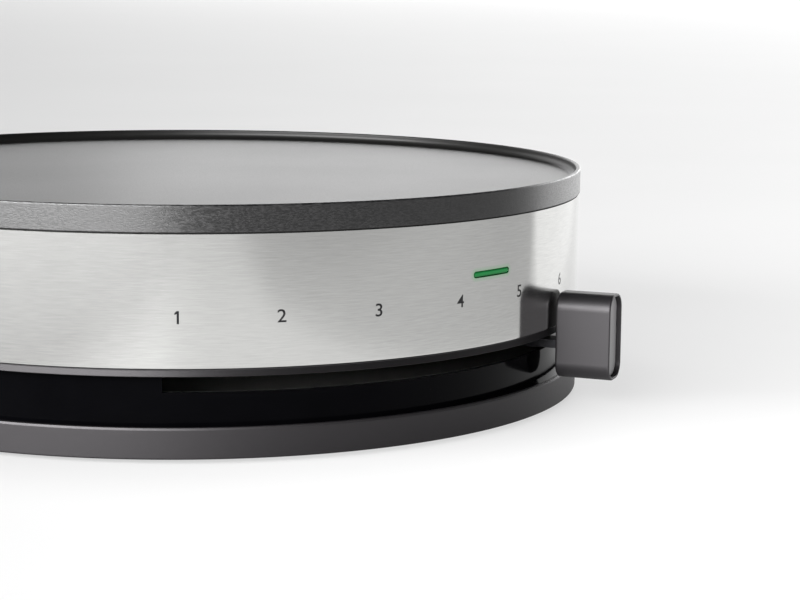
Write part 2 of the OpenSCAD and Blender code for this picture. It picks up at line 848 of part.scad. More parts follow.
module earth_tab() {
    color("gold") on_ring(back, earth_r) difference() {
        union() {
            translate([-earth_w / 2, -earth_w / 2, z_plate - tab_t]) cube([earth_w, earth_w, tab_t]);
            translate([-tab_w / 2, earth_w / 2 - tab_t, z_plate - earth_l]) cube([tab_w, tab_t, earth_l]);
        }
        rod(z_plate - tab_t - overlap, small_screw_d + 2 * screw_gap, tab_t + 2 * overlap);
    }
}

module earth_screw() {
    color("gold") on_ring(back, earth_r)
        screw(z_plate - tab_t, small_screw_d, tab_t + 3, small_head_d - 1, small_head_h);
}

module cord_gland() {
    length = gland_flange_t + wall_t + gland_nut_t + gland_tail;
    color([0.1, 0.1, 0.1]) on_ring(back, recess_r) translate([0, 0, z_gland]) rotate([-90, 0, 0])
        difference() {
            union() {
                rod(-gland_flange_t, gland_flange_d, gland_flange_t);
                rod(-gland_flange_t, gland_neck_d, length);
            }
            rod(-gland_flange_t - overlap, cord_hole_d, length + 2 * overlap);
        }
}

// Hexagon nut: its corners bear on the round wall, so its seat lies a little inside it
module gland_nut() {
    color([0.1, 0.1, 0.1]) on_ring(back, gland_nut_r) translate([0, 0, z_gland]) rotate([-90, 0, 0])
        difference() {
            cylinder(d = gland_nut_d, h = gland_nut_t, $fn = 6);
            rod(-overlap, gland_neck_d + 2 * screw_gap, gland_nut_t + 2 * overlap);
        }
}

// ---- Temperature lever ----

// Points its children outwards at the lever's present mark
module at_lever() {
    rotate([0, 0, lever_angle]) children();
}

// Length of the knob drawn in by inset, from d to d short of its far end
module knob_slice(d, inset) {
    $fn = 32;
    translate([0, -knob_in_r - d, z_knob + knob_h / 2]) rotate([90, 0, 0])
        linear_extrude(knob_l - 2 * d)
            round_rect(knob_w - 2 * inset, knob_h - 2 * inset, knob_corner_r - inset);
}

// The nested lengths give the knob round edges at both ends
module knob_body() {
    steps = 3;
    hull() for (i = [0:steps])
        knob_slice(knob_edge_r * (1 - cos(90 * i / steps)), knob_edge_r * (1 - sin(90 * i / steps)));
}

module knob_grip() {
    end_cut = knob_hollow + cap_t;
    color([0.3, 0.28, 0.29]) at_lever() difference() {
        knob_body();
        translate([0, -knob_out_r, z_knob + knob_h / 2]) rotate([90, 0, 0])
            translate([0, 0, -end_cut]) linear_extrude(end_cut + overlap)
                round_rect(knob_w - 2 * knob_wall, knob_h - 2 * knob_wall, knob_corner_r - knob_wall);
        translate([-arm_w / 2 - screw_gap, -knob_in_r - tang_l - push_gap, z_arm - screw_gap])
            cube([arm_w + 2 * screw_gap, tang_l + push_gap + overlap, arm_t + 2 * screw_gap]);
        translate([0, -knob_in_r - knob_screw_at, 0]) {
            rod(z_knob - overlap, small_head_d + 2 * push_gap, z_arm - 2 * small_head_h - z_knob + overlap);
            rod(z_knob, small_screw_d + 2 * screw_gap, z_arm - z_knob);
        }
    }
}

module knob_cap() {
    inset = knob_wall + push_gap;
    color([0.55, 0.54, 0.55]) at_lever()
        translate([0, -knob_out_r + knob_hollow, z_knob + knob_h / 2]) rotate([90, 0, 0])
            translate([0, 0, -cap_t]) linear_extrude(cap_t)
                round_rect(knob_w - 2 * inset, knob_h - 2 * inset, knob_corner_r - inset);
}

module knob_screw() {
    color("silver") at_lever() translate([0, -knob_in_r - knob_screw_at, 0])
        screw(z_arm - 2 * small_head_h, small_screw_d, 2 * small_head_h + arm_t, small_head_d, small_head_h);
}

module lever_arm() {
    straight_r = recess_in_r - arm_taper_end;
    color([0.2, 0.2, 0.22]) at_lever() difference() {
        translate([0, 0, z_arm]) linear_extrude(arm_t) {
            circle(d = arm_eye_d);
            polygon([
                [-arm_root_w / 2, 0], [-arm_w / 2, -straight_r],
                [-arm_w / 2, -knob_in_r - tang_l], [arm_w / 2, -knob_in_r - tang_l],
                [arm_w / 2, -straight_r], [arm_root_w / 2, 0],
            ]);
        }
        rod(z_arm - overlap, journal_d + 2 * screw_gap, arm_t + 2 * overlap);
        for (side = [-1, 1]) translate([side * hub_screw_r, 0, 0])
            rod(z_arm - overlap, small_screw_d + 2 * screw_gap, arm_t + 2 * overlap);
        translate([0, -knob_in_r - knob_screw_at, 0])
            rod(z_arm - overlap, small_screw_d + 2 * screw_gap, arm_t + 2 * overlap);
    }
}

// Round of the spindle with one flat
module d_section(d) {
    difference() {
        circle(d = d);
        translate([-d, d / 2 - spindle_flat]) square([2 * d, d]);
    }
}

module lever_hub() {
    z_flange = z_arm - hub_flange_t;
    color([0.85, 0.84, 0.8]) at_lever() difference() {
        union() {
            rod(z_flange, hub_flange_d, hub_flange_t);
            rod(z_flange, journal_d, z_hub_top - z_flange);
        }
        ring(journal_d / 2 - clip_groove, journal_d, z_clip, clip_t + screw_gap);
        translate([0, 0, z_hub_top - spindle_seat]) linear_extrude(spindle_seat + overlap)
            d_section(spindle_d + screw_gap);
        for (side = [-1, 1]) translate([side * hub_screw_r, 0, 0])
            rod(z_flange - overlap, small_screw_d + 2 * screw_gap, hub_flange_t + 2 * overlap);
    }
}

module hub_screws() {
    color("silver") at_lever() for (side = [-1, 1]) translate([side * hub_screw_r, 0, 0])
        screw(z_arm - hub_flange_t, small_screw_d, hub_flange_t + arm_t, small_head_d, small_head_h);
}

module thrust_washer() {
    color("whitesmoke")
        ring(journal_d / 2 + screw_gap, journal_d / 2 + bearing_wall, z_arm_top,
             z_floor - end_play - z_arm_top);
}

module hub_clip() {
    color("silver") at_lever() difference() {
        ring(journal_d / 2 - clip_groove + screw_gap, journal_d / 2 + 3, z_clip, clip_t);
        translate([-journal_d / 3, 0, z_clip - overlap])
            cube([2 * journal_d / 3, journal_d, clip_t + 2 * overlap]);
    }
}

module thermostat_spindle() {
    color("silver") at_lever() {
        translate([0, 0, z_hub_top - spindle_seat]) linear_extrude(spindle_seat) d_section(spindle_d);
        rod(z_hub_top - overlap / 2, spindle_d - 2 * spindle_flat, overlap);
        rod(z_hub_top, spindle_d, z_spindle_top - z_hub_top);
    }
}

hot_plate();
heating_element();
heater_collars();
heater_tabs();
plate_gasket();
heat_shield();
shield_washers();
plate_screws();
steel_band();
upper_housing();
recess_wall();
base_tray();
base_ring();
base_cover();
rubber_feet();
base_screws();
thermostat_frame();
thermostat_bushing();
thermostat_beads();
contact_blades();
thermostat_rivet();
thermostat_screws();
bimetal_strip();
thermal_fuse();
fuse_sleeve();
fuse_clamp();
fuse_screw();
indicator_lens();
indicator_lamp();
lamp_holder();
terminal_block();
terminal_screws();
earth_tab();
earth_screw();
cord_gland();
gland_nut();
knob_grip();
knob_cap();
knob_screw();
lever_arm();
lever_hub();
hub_screws();
thrust_washer();
hub_clip();
thermostat_spindle();
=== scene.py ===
# %% [markdown]
# # An electric crepe maker, dressed in Blender
# The CAD model already fixes where every rigid part sits and how the temperature lever turns. This
# lesson loads it as a frame that never moves, gives each part the finish it has on the real object,
# and replaces the parts whose edges and surfaces deserve more care than a CAD mesh gives them.

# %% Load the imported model
import json
import math

import bmesh
import bpy
from mathutils import Matrix, Vector


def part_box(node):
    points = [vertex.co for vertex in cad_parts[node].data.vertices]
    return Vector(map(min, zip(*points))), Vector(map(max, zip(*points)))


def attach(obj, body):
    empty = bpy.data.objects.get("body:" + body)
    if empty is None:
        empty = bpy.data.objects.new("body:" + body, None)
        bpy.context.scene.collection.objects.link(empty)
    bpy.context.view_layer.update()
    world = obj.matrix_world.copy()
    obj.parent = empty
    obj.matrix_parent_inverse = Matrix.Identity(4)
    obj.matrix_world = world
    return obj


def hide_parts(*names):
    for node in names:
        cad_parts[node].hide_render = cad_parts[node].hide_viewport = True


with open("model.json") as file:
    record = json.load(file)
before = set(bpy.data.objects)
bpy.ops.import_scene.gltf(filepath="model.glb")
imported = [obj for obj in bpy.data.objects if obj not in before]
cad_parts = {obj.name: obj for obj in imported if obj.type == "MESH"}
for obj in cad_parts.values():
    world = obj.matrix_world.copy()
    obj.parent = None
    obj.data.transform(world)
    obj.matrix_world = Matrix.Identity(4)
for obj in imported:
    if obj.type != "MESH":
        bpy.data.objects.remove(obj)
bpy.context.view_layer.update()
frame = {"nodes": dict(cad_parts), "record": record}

nodes = frame["nodes"]

# %% [markdown]
# ## Sizes
# A dressed part has to sit exactly where its CAD part is, so its main sizes are measured on the CAD
# parts, and only what a box can't tell, such as a rounding, is written here. Blender counts in
# metres, and small things are easier to read in millimetres. The six marks sit at these angles round
# the band, counted from the front, and the lever at rest points to the last of them.

# %% Measure the parts
MM = 0.001
SAME_POINT = 0.001 * MM


def low(node):
    """Lowest corner of a CAD part."""
    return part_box(node)[0]


def high(node):
    """Highest corner of a CAD part."""
    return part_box(node)[1]


mounts = {mount["name"]: Vector(mount["pos_m"]) for mount in frame["record"]["mounts"]}
plate_radius, plate_top = high("hot_plate").x, high("hot_plate").z
plate_underside = high("plate_gasket").z
cooking_height = mounts["cooking_surface"].z
band_radius, band_bottom, band_top = high("steel_band").x, low("steel_band").z, high("steel_band").z
ring_radius, ring_bottom, ring_top = high("base_ring").x, low("base_ring").z, high("base_ring").z
mark_angles = [math.radians(degrees) for degrees in (-2.15, 11.0, 24.15, 37.3, 49.75, 63.1)]
lever_angle = mark_angles[-1]
bolt_circle = 140 * MM
print("plate", plate_radius, "band", band_bottom, band_top, "ring", ring_bottom, ring_top)


# %% [markdown]
# ## Points on a ring
# Everything here is arranged round one axis. An angle counts from the front and grows towards the
# right, as the marks on the band do, so one small helper places all that sits on a ring.

# %% A point on a ring
def on_ring(angle, radius, height=0.0):
    """The point at this angle, in radians from the front."""
    return Vector((radius * math.sin(angle), -radius * math.cos(angle), height))


print("the lever leaves the body near", tuple(round(c, 3) for c in on_ring(lever_angle, band_radius)))


# %% [markdown]
# ## Edges that catch light
# No real edge is perfectly sharp: a turned rim is broken with a file, a moulded one leaves its mould
# slightly round, and that round is what draws a thin line of light. A part that is turned on a
# lathe is described by its section, so the rounding is made there, in two dimensions. Two guard
# points beside each arc keep the flats next to it flat in their shading.

# %% Round the corners of a section
def rounded(corners, steps=6, guard=0.3 * MM):
    """Points of a closed outline. A corner is (across, up, rounding)."""
    points = []
    for i, (x, y, radius) in enumerate(corners):
        here = Vector((x, y))
        before = Vector(corners[i - 1][:2]) - here
        after = Vector(corners[(i + 1) % len(corners)][:2]) - here
        if radius == 0:
            points.append(here)
            continue
        half = before.angle(after) / 2
        reach = radius / math.tan(half)
        start, end = here + before.normalized() * reach, here + after.normalized() * reach
        middle = here + (before.normalized() + after.normalized()).normalized() * radius / math.sin(half)
        points.append(start + before.normalized() * min(guard, (before.length - reach) / 3))
        spokes = (start - middle).normalized(), (end - middle).normalized()
        for k in range(steps + 1):
            points.append(middle + spokes[0].slerp(spokes[1], k / steps) * radius)
        points.append(end + after.normalized() * min(guard, (after.length - reach) / 3))
    return points


square = [(0, 0, 1), (4, 0, 1), (4, 4, 1), (0, 4, 1)]
print("a square gets", len(rounded(square)), "points when its corners are rounded")


# %% [markdown]
# ## From section to turned part
# The plate, the band and the base ring are bodies of revolution. Spinning a section in mesh code
# would do, but a Geometry Nodes tree keeps the idea visible: the section becomes a profile curve,
# a circle is its path, and Curve to Mesh sweeps one along the other. The same tree then makes all
# three, with its own sizes for each. First come three helpers that keep every tree here short.

# %% Make nodes in few words
def tree_with(name, sockets):
    """A new Geometry Nodes tree with these input sockets, and its input and output nodes."""
    tree = bpy.data.node_groups.new(name, "GeometryNodeTree")
    for socket, kind in sockets:
        tree.interface.new_socket(socket, in_out="INPUT", socket_type=kind)
    tree.interface.new_socket("Geometry", in_out="OUTPUT", socket_type="NodeSocketGeometry")
    return tree, tree.nodes.new("NodeGroupInput").outputs, tree.nodes.new("NodeGroupOutput").inputs


def add_node(tree, kind, inputs=None, **settings):
    """Adds a node, sets its own settings, and gives its inputs values or links."""
    node = tree.nodes.new(kind)
    for name, value in settings.items():
        setattr(node, name, value)
    for name, value in (inputs or {}).items():
        if isinstance(value, bpy.types.NodeSocket):
            tree.links.new(value, node.inputs[name])
        else:
            node.inputs[name].default_value = value
    return node


def math_node(tree, operation, *values, clamp=False):
    """Adds a Math node, and returns its result."""
    node = add_node(tree, "ShaderNodeMath", operation=operation, use_clamp=clamp)
    for socket, value in zip(node.inputs, values):
        if isinstance(value, bpy.types.NodeSocket):
            tree.links.new(value, socket)
        else:
            socket.default_value = value
    return node.outputs[0]


# %% [markdown]
# The section arrives as a wire in X and Z, while a profile is read in X and Y, seen along its path.
# So the tree first lays the wire flat, measured from the path's own radius, and then sweeps it.

# %% Build the tree that turns a section
def turned_tree():
    """Sweeps a section, drawn in X and Z, round the Z axis."""
    tree, given, out = tree_with("turned_part", [
        ("Section", "NodeSocketGeometry"), ("Path Radius", "NodeSocketFloat"),
        ("Segments", "NodeSocketInt"), ("Finish", "NodeSocketMaterial")])
    place = add_node(tree, "ShaderNodeSeparateXYZ", {"Vector": add_node(
        tree, "GeometryNodeInputPosition").outputs[0]})
    across = math_node(tree, "SUBTRACT", place.outputs["X"], given["Path Radius"])
    down = math_node(tree, "MULTIPLY", place.outputs["Z"], -1.0)
    flat = add_node(tree, "ShaderNodeCombineXYZ", {"X": across, "Y": down})
    section = add_node(tree, "GeometryNodeSetPosition", {
        "Geometry": given["Section"], "Position": flat.outputs[0]})
    profile = add_node(tree, "GeometryNodeMeshToCurve", {"Mesh": section.outputs[0]})
    path = add_node(tree, "GeometryNodeCurvePrimitiveCircle", {
        "Resolution": given["Segments"], "Radius": given["Path Radius"]})
    swept = add_node(tree, "GeometryNodeCurveToMesh", {
        "Curve": path.outputs[0], "Profile Curve": profile.outputs[0]})
    joined = add_node(tree, "GeometryNodeMergeByDistance", {
        "Geometry": swept.outputs[0], "Distance": SAME_POINT})
    real = add_node(tree, "GeometryNodeRealizeInstances", {"Geometry": joined.outputs[0]})
    painted = add_node(tree, "GeometryNodeSetMaterial", {
        "Geometry": real.outputs[0], "Material": given["Finish"]})
    tree.links.new(painted.outputs[0], out[0])
    return tree


turned_part = turned_tree()
print("tree", turned_part.name, len(turned_part.nodes), "nodes")


# %% [markdown]
# ## Repeats round the axis
# Feet and screws are one part set several times on a circle. The second tree takes that part as its
# geometry and makes a point for each copy from its number, so that the count, the first angle and
# the step stay plain inputs.

# %% Build the tree that sets a part round the axis
def ring_tree():
    """Sets copies of its geometry on a circle, each turned to its own angle."""
    tree, given, out = tree_with("set_round_axis", [
        ("Part", "NodeSocketGeometry"), ("Count", "NodeSocketInt"), ("First Angle", "NodeSocketFloat"),
        ("Step", "NodeSocketFloat"), ("Radius", "NodeSocketFloat"), ("Finish", "NodeSocketMaterial")])
    number = add_node(tree, "GeometryNodeInputIndex").outputs[0]
    steps = math_node(tree, "MULTIPLY", number, given["Step"])
    angle = math_node(tree, "ADD", given["First Angle"], steps)
    right = math_node(tree, "MULTIPLY", math_node(tree, "SINE", angle), given["Radius"])
    front = math_node(tree, "MULTIPLY", math_node(tree, "COSINE", angle), given["Radius"])
    place = add_node(tree, "ShaderNodeCombineXYZ", {
        "X": right, "Y": math_node(tree, "MULTIPLY", front, -1.0)})
    turn = add_node(tree, "ShaderNodeCombineXYZ", {"Z": angle})
    line = add_node(tree, "GeometryNodeMeshLine", {"Count": given["Count"]})
    points = add_node(tree, "GeometryNodeSetPosition", {
        "Geometry": line.outputs[0], "Position": place.outputs[0]})
    copies = add_node(tree, "GeometryNodeInstanceOnPoints", {
        "Points": points.outputs[0], "Instance": given["Part"], "Rotation": turn.outputs[0]})
    real = add_node(tree, "GeometryNodeRealizeInstances", {"Geometry": copies.outputs[0]})
    painted = add_node(tree, "GeometryNodeSetMaterial", {
        "Geometry": real.outputs[0], "Material": given["Finish"]})
    tree.links.new(painted.outputs[0], out[0])
    return tree


set_round_axis = ring_tree()
print("tree", set_round_axis.name, len(set_round_axis.nodes), "nodes")


# %% [markdown]
# ## From tree to plain piece
# A modifier stays live, and a live tree can't be exported or checked like a mesh. So each tree runs
# once, its result is copied into a plain mesh, and the helper object goes. Then the faces are
# turned outwards, and only real corners stay sharp in the shading.

# %% Keep what a tree makes
SHARP = math.radians(32)


def settled(mesh):
    """Turns the faces of a closed mesh outwards, and shades it smooth between its real corners."""
    work = bmesh.new()
    work.from_mesh(mesh)
    bmesh.ops.remove_doubles(work, verts=work.verts, dist=SAME_POINT)
    bmesh.ops.recalc_face_normals(work, faces=work.faces)
    if work.calc_volume(signed=True) < 0:
        bmesh.ops.reverse_faces(work, faces=work.faces)
    work.to_mesh(mesh)
    work.free()
    mesh.shade_smooth()
    mesh.set_sharp_from_angle(angle=SHARP)
    return mesh


def run_modifiers(source, name):
    """The mesh that an object's modifiers make. The object itself goes."""
    bpy.context.view_layer.update()
    evaluated = source.evaluated_get(bpy.context.evaluated_depsgraph_get())
    mesh = bpy.data.meshes.new_from_object(evaluated)
    mesh.name = name
    bpy.data.objects.remove(source)
    return mesh


def placed(name, data):
    """A new object in the scene."""
    made = bpy.data.objects.new(name, data)
    bpy.context.scene.collection.objects.link(made)
    return made


def grown(name, mesh, tree, **sizes):
    """Runs a tree on a mesh with these inputs, and returns the plain result."""
    source = placed("helper", mesh)
    modifier = source.modifiers.new("tree", "NODES")
    modifier.node_group = tree
    for socket in tree.interface.items_tree:
        if socket.in_out == "INPUT" and socket.name in sizes:
            modifier[socket.identifier] = sizes[socket.name]
    return settled(run_modifiers(source, name))


# %% [markdown]
# A finished mesh becomes a piece: an object that rides on one of the CAD bodies, and hides the CAD
# parts that it stands for. Shapes that are built point by point end as a mesh in the same way every
# time.

# %% Make a piece of a mesh
def piece(name, mesh, body, slot, *stands_for):
    """Makes a finished piece of a mesh, on a CAD body, in place of these CAD parts."""
    made = placed(name, mesh)
    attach(made, body)
    if stands_for:
        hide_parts(*stands_for)
    print(f"{name}: {len(mesh.vertices)} points, {len(mesh.polygons)} faces")


def mesh_from(work, name, *used):
    """A mesh of what mesh code has built, with these finishes."""
    mesh = bpy.data.meshes.new(name)
    for one in used:
        mesh.materials.append(one)
    work.to_mesh(mesh)
    work.free()
    return mesh


# %% [markdown]
# Two ways of shaping come back all the time: turning a section on the lathe, and cutting one shape
# out of another.

# %% Turn and carve
def section_mesh(points, closed=True):
    """A wire of (radius, height) points, standing in X and Z."""
    mesh = bpy.data.meshes.new("section")
    links = [(i, i + 1) for i in range(len(points) - 1)]
    if closed:
        links.append((len(points) - 1, 0))
    mesh.from_pydata([(p[0], 0.0, p[1]) for p in points], links, [])
    return mesh


def turned(name, points, finish_used, segments=360, closed=True):
    """A body of revolution from a section."""
    return grown(name, section_mesh(points, closed), turned_part, **{
        "Path Radius": plate_radius, "Segments": segments, "Finish": finish_used})


def carved(mesh, *cutters):
    """The mesh with the cutters' shapes taken away."""
    source = placed("helper", mesh)
    tools = [placed("cutter", cutter) for cutter in cutters]
    for tool in tools:
        cut = source.modifiers.new("cut", "BOOLEAN")
        cut.operation, cut.solver, cut.object = "DIFFERENCE", "EXACT", tool
    result = run_modifiers(source, mesh.name)
    for tool in tools:
        bpy.data.objects.remove(tool)
    return settled(result)


# %% [markdown]
# ## Grain that follows the lathe
# Brushing and turning both leave fine lines that run round the axis. On a wall the lines differ by
# height, on a flat face by radius, so the pattern looks up a noise at height plus radius, very
# finely, and along the line only coarsely. That works everywhere on a turned part without a seam,
# and every metal here shares it as one group.

# %% Shared pattern: lines round the axis
def shader_group(name, inputs, outputs):
    """A new shader node group with float or vector inputs, and float outputs."""
    tree = bpy.data.node_groups.new(name, "ShaderNodeTree")
    for socket, value in inputs:
        kind = "NodeSocketVector" if value is None else "NodeSocketFloat"
        made = tree.interface.new_socket(socket, in_out="INPUT", socket_type=kind)
        if value is not None:
            made.default_value = value
    for socket in outputs:
        tree.interface.new_socket(socket, in_out="OUTPUT", socket_type="NodeSocketFloat")
    return tree, tree.nodes.new("NodeGroupInput").outputs, tree.nodes.new("NodeGroupOutput").inputs


def lathe_lines_group():
    """Fine lines round the axis, as Fine and Coarse from 0 to 1."""
    tree, given, out = shader_group("lathe_lines", [
        ("Place", None), ("Along", 40.0), ("Across", 6000.0)], ["Fine", "Coarse"])
    place = add_node(tree, "ShaderNodeSeparateXYZ", {"Vector": given["Place"]}).outputs
    squares = [math_node(tree, "MULTIPLY", place[axis], place[axis]) for axis in "XY"]
    radius = math_node(tree, "SQRT", math_node(tree, "ADD", *squares))
    level = math_node(tree, "ADD", radius, place["Z"])
    for output, share, detail in (("Fine", 1.0, 2.0), ("Coarse", 0.17, 3.0)):
        lookup = add_node(tree, "ShaderNodeCombineXYZ", {
            "X": math_node(tree, "MULTIPLY", place["X"], given["Along"]),
            "Y": math_node(tree, "MULTIPLY", place["Y"], given["Along"]),
            "Z": math_node(tree, "MULTIPLY", math_node(tree, "MULTIPLY", level, given["Across"]), share)})
        noise = add_node(tree, "ShaderNodeTexNoise", {
            "Vector": lookup.outputs[0], "Scale": 1.0, "Detail": detail, "Roughness": 0.6})
        tree.links.new(noise.outputs["Fac"], out[output])
    return tree


lathe_lines = lathe_lines_group()
print("group", lathe_lines.name, "has", len(lathe_lines.nodes), "nodes")


# %% [markdown]
# ## Grain of a mould or a casting
# Moulded plastic, rubber and a coated casting have no direction, only a fine pebble. The second
# shared group mixes two noises of different size, and adds a slow drift for the way a hand, a mould
# or an oven never leaves a surface quite even.

# %% Shared pattern: pebble and drift
def pebble_group():
    """A fine pebble and a slow drift, both from 0 to 1."""
    tree, given, out = shader_group("pebble", [
        ("Place", None), ("Grains", 3000.0), ("Drift Scale", 18.0)], ["Pebble", "Drift"])
    fine = add_node(tree, "ShaderNodeTexNoise", {
        "Vector": given["Place"], "Scale": given["Grains"], "Detail": 2.0, "Roughness": 0.5})
    cells = add_node(tree, "ShaderNodeTexVoronoi", {
        "Vector": given["Place"], "Scale": math_node(tree, "MULTIPLY", given["Grains"], 0.6)})
    noise_part = math_node(tree, "MULTIPLY", fine.outputs["Fac"], 0.6)
    cell_part = math_node(tree, "MULTIPLY", cells.outputs["Distance"], 0.5)
    tree.links.new(math_node(tree, "ADD", noise_part, cell_part, clamp=True), out["Pebble"])
    slow = add_node(tree, "ShaderNodeTexNoise", {
        "Vector": given["Place"], "Scale": given["Drift Scale"], "Detail": 3.0, "Roughness": 0.55})
    tree.links.new(slow.outputs["Fac"], out["Drift"])
    return tree


pebble = pebble_group()
print("group", pebble.name, "has", len(pebble.nodes), "nodes")


# %% [markdown]
# ## Small moves in a shader
# A shader tree mostly asks where a point lies, maps a number from one range to another, and mixes
# two colours. Each of these gets a short name, so that the finishes are easy to read.

# %% Place, ramp and blend
def object_place(tree):
    """Where a point lies on its piece."""
    return add_node(tree, "ShaderNodeTexCoord").outputs["Object"]


def ramp(tree, value, start, end, at_start=0.0, at_end=1.0):
    """A value mapped from one range to another, and held beyond both ends."""
    mapped = add_node(tree, "ShaderNodeMapRange", {
        "Value": value, "From Min": start, "From Max": end, "To Min": at_start, "To Max": at_end})
    return mapped.outputs[0]


def blend(tree, share, first, second):
    """A colour that runs from the first to the second as the share goes from 0 to 1."""
    mixed = add_node(tree, "ShaderNodeMix", {"Factor": share, "A": first, "B": second}, data_type="RGBA")
    return mixed.outputs["Result"]


# %% [markdown]
# ## One way to build a finish
# All finishes share a skeleton: a Principled shader, one of the two patterns, a colour and a
# roughness that follow the pattern a little, and a bump. Roughness also drifts slowly over the
# surface. Values that stay the same everywhere are set on the shader itself.

# %% Build a finish
MIDDLE_HALF = (0.25, 0.75)
finishes = {}


def finish(name, dark, light, roughness, group, pattern, sizes, bump, drift=0.04, span=(0.0, 1.0),
           **shader_values):
    """A material whose colour runs from dark to light, and whose roughness spans a range, with a pattern.

    span is the part of the pattern's range that the colour uses. The material is filed in finishes.
    """
    made = bpy.data.materials.new(name)
    made.use_nodes = True
    tree = made.node_tree
    shader = tree.nodes["Principled BSDF"]
    place = object_place(tree)
    grain = add_node(tree, "ShaderNodeGroup", node_tree=group)
    tree.links.new(place, grain.inputs["Place"])
    for socket, value in sizes.items():
        grain.inputs[socket].default_value = value
    mask = ramp(tree, grain.outputs[pattern], *span)
    tree.links.new(blend(tree, mask, (*dark, 1.0), (*light, 1.0)), shader.inputs["Base Color"])
    slow = add_node(tree, "ShaderNodeTexNoise", {"Vector": place, "Scale": 14.0, "Detail": 3.0})
    even = ramp(tree, mask, *MIDDLE_HALF, *roughness)
    shift = math_node(tree, "MULTIPLY", math_node(tree, "SUBTRACT", slow.outputs["Fac"], 0.5), drift)
    tree.links.new(math_node(tree, "ADD", even, shift, clamp=True), shader.inputs["Roughness"])
    raised = add_node(tree, "ShaderNodeBump", {
        "Height": mask, "Strength": bump[0], "Distance": bump[1] * MM})
    tree.links.new(raised.outputs[0], shader.inputs["Normal"])
    for socket, value in shader_values.items():
        shader.inputs[socket.replace("_", " ")].default_value = value
    finishes[name] = made
    return made


# %% [markdown]
# Nearly every surface here is one of three kinds: a fine pebble, a slow drift without grain, or
# lines round the axis. Each kind gets a helper of its own, which leaves only its numbers to give.

# %% Name three kinds of surface
def pebbled(name, dark, light, roughness, grains, bump, **others):
    """A finish with a fine pebble. More grains make a finer one."""
    return finish(name, dark, light, roughness, pebble, "Pebble", {"Grains": grains}, bump, **others)


def drifting(name, dark, light, roughness, scale, bump, **others):
    """A finish without grain, only a slow drift. A larger scale makes smaller clouds."""
    return finish(name, dark, light, roughness, pebble, "Drift", {"Drift Scale": scale}, bump, **others)


def lined(name, dark, light, roughness, output, along, across, bump, **others):
    """A finish with lines round the axis, stretched by the ratio of across to along."""
    sizes = {"Along": along, "Across": across}
    return finish(name, dark, light, roughness, lathe_lines, output, sizes, bump, **others)


# %% [markdown]
# ## The metals
# The band is stainless sheet, brushed along its length: the lines run round the body, so reflections
# stay crisp sideways and smear up and down. Anisotropy does that smear, and needs to be told where
# "along" is, which for a body of revolution is the tangent round Z. Inner sheet and screws share
# plainer finishes. Each call says the darkest and lightest colour, the range of roughness, the
# pattern's sizes, the bump's strength and height in mm, and what is set on the shader itself.

# %% Brushed, plated and dark metals
def tangent_round_axis(made):
    """Stretches a finish's highlights at right angles to lines round the axis."""
    tree = made.node_tree
    tangent = add_node(tree, "ShaderNodeTangent", direction_type="RADIAL", axis="Z")
    tree.links.new(tangent.outputs[0], tree.nodes["Principled BSDF"].inputs["Tangent"])


tangent_round_axis(lined(
    "brushed_steel", (0.52, 0.52, 0.51), (0.68, 0.68, 0.665), (0.09, 0.12), "Fine", 130.0, 2500.0,
    (0.09, 0.006), Metallic=1.0, Anisotropic=0.85, Anisotropic_Rotation=0.25))
pebbled("plated_steel", (0.50, 0.50, 0.51), (0.68, 0.68, 0.68), (0.26, 0.40), 1800.0, (0.15, 0.05),
        Metallic=1.0)
lined("shield_sheet", (0.60, 0.61, 0.62), (0.78, 0.79, 0.80), (0.30, 0.45), "Coarse", 30.0, 2500.0,
      (0.1, 0.05), Metallic=1.0)
pebbled("brass", (0.58, 0.42, 0.17), (0.78, 0.60, 0.29), (0.25, 0.42), 1500.0, (0.15, 0.05), Metallic=1.0)
drifting("heater_sheath", (0.09, 0.095, 0.09), (0.24, 0.24, 0.22), (0.45, 0.65), 160.0, (0.2, 0.1),
         Metallic=0.9)
pebbled("arm_steel", (0.012, 0.012, 0.014), (0.03, 0.03, 0.034), (0.32, 0.45), 2500.0, (0.2, 0.03),
        Metallic=0.6)
print("metals", sorted(finishes))

# %% [markdown]
# ## The dark finishes
# The plate is cast aluminium under a thin non-stick coat. Its outer wall is turned before it is
# coated, so fine lines and tiny glints show through there. The lip, the ring and the knob are
# lacquered, and the lacquer mirrors a trace less green than red and blue. The lip's copy of it is
# darker and duller: painted shade for the shadow under the band. The recess is high-gloss black
# and works as a dark mirror.

# %% Coatings, lacquers and plastics
WARM_LACQUER = (1.0, 0.965, 1.0, 1.0)
pebbled("plate_coating", (0.003, 0.0029, 0.0028), (0.008, 0.0078, 0.0074), (0.38, 0.44), 2600.0,
        (0.15, 0.02), Specular_IOR_Level=0.3)
tangent_round_axis(lined(
    "plate_edge", (0.0005, 0.0005, 0.0006), (0.019, 0.0185, 0.019), (0.32, 0.50), "Fine", 680.0, 2400.0,
    (0.75, 0.02), span=(0.42, 0.64), Specular_IOR_Level=0.95, Anisotropic=0.75,
    Anisotropic_Rotation=0.25, Sheen_Weight=0.04, Sheen_Roughness=0.3))
pebbled("satin_trim", (0.004, 0.0036, 0.004), (0.008, 0.0072, 0.008), (0.43, 0.50), 2600.0,
        (0.12, 0.03), Specular_IOR_Level=0.55, Specular_Tint=WARM_LACQUER)
# The lip's lacquer is a darker, duller copy of satin_trim: painted shade for the shadow under the band.
pebbled("lip_lacquer_shaded", (0.001, 0.0009, 0.001), (0.003, 0.0028, 0.003), (0.36, 0.42), 2600.0,
        (0.1, 0.03), Specular_IOR_Level=0.4, Specular_Tint=WARM_LACQUER)
drifting("gloss_black", (0.0006, 0.0006, 0.0008), (0.0014, 0.0014, 0.0018), (0.07, 0.11), 60.0,
         (0.03, 0.05), drift=0.02, Specular_IOR_Level=0.068, Specular_Tint=(0.24, 0.24, 0.255, 1.0))
pebbled("matte_black", (0.018, 0.018, 0.018), (0.036, 0.036, 0.037), (0.55, 0.72), 1600.0, (0.5, 0.08))
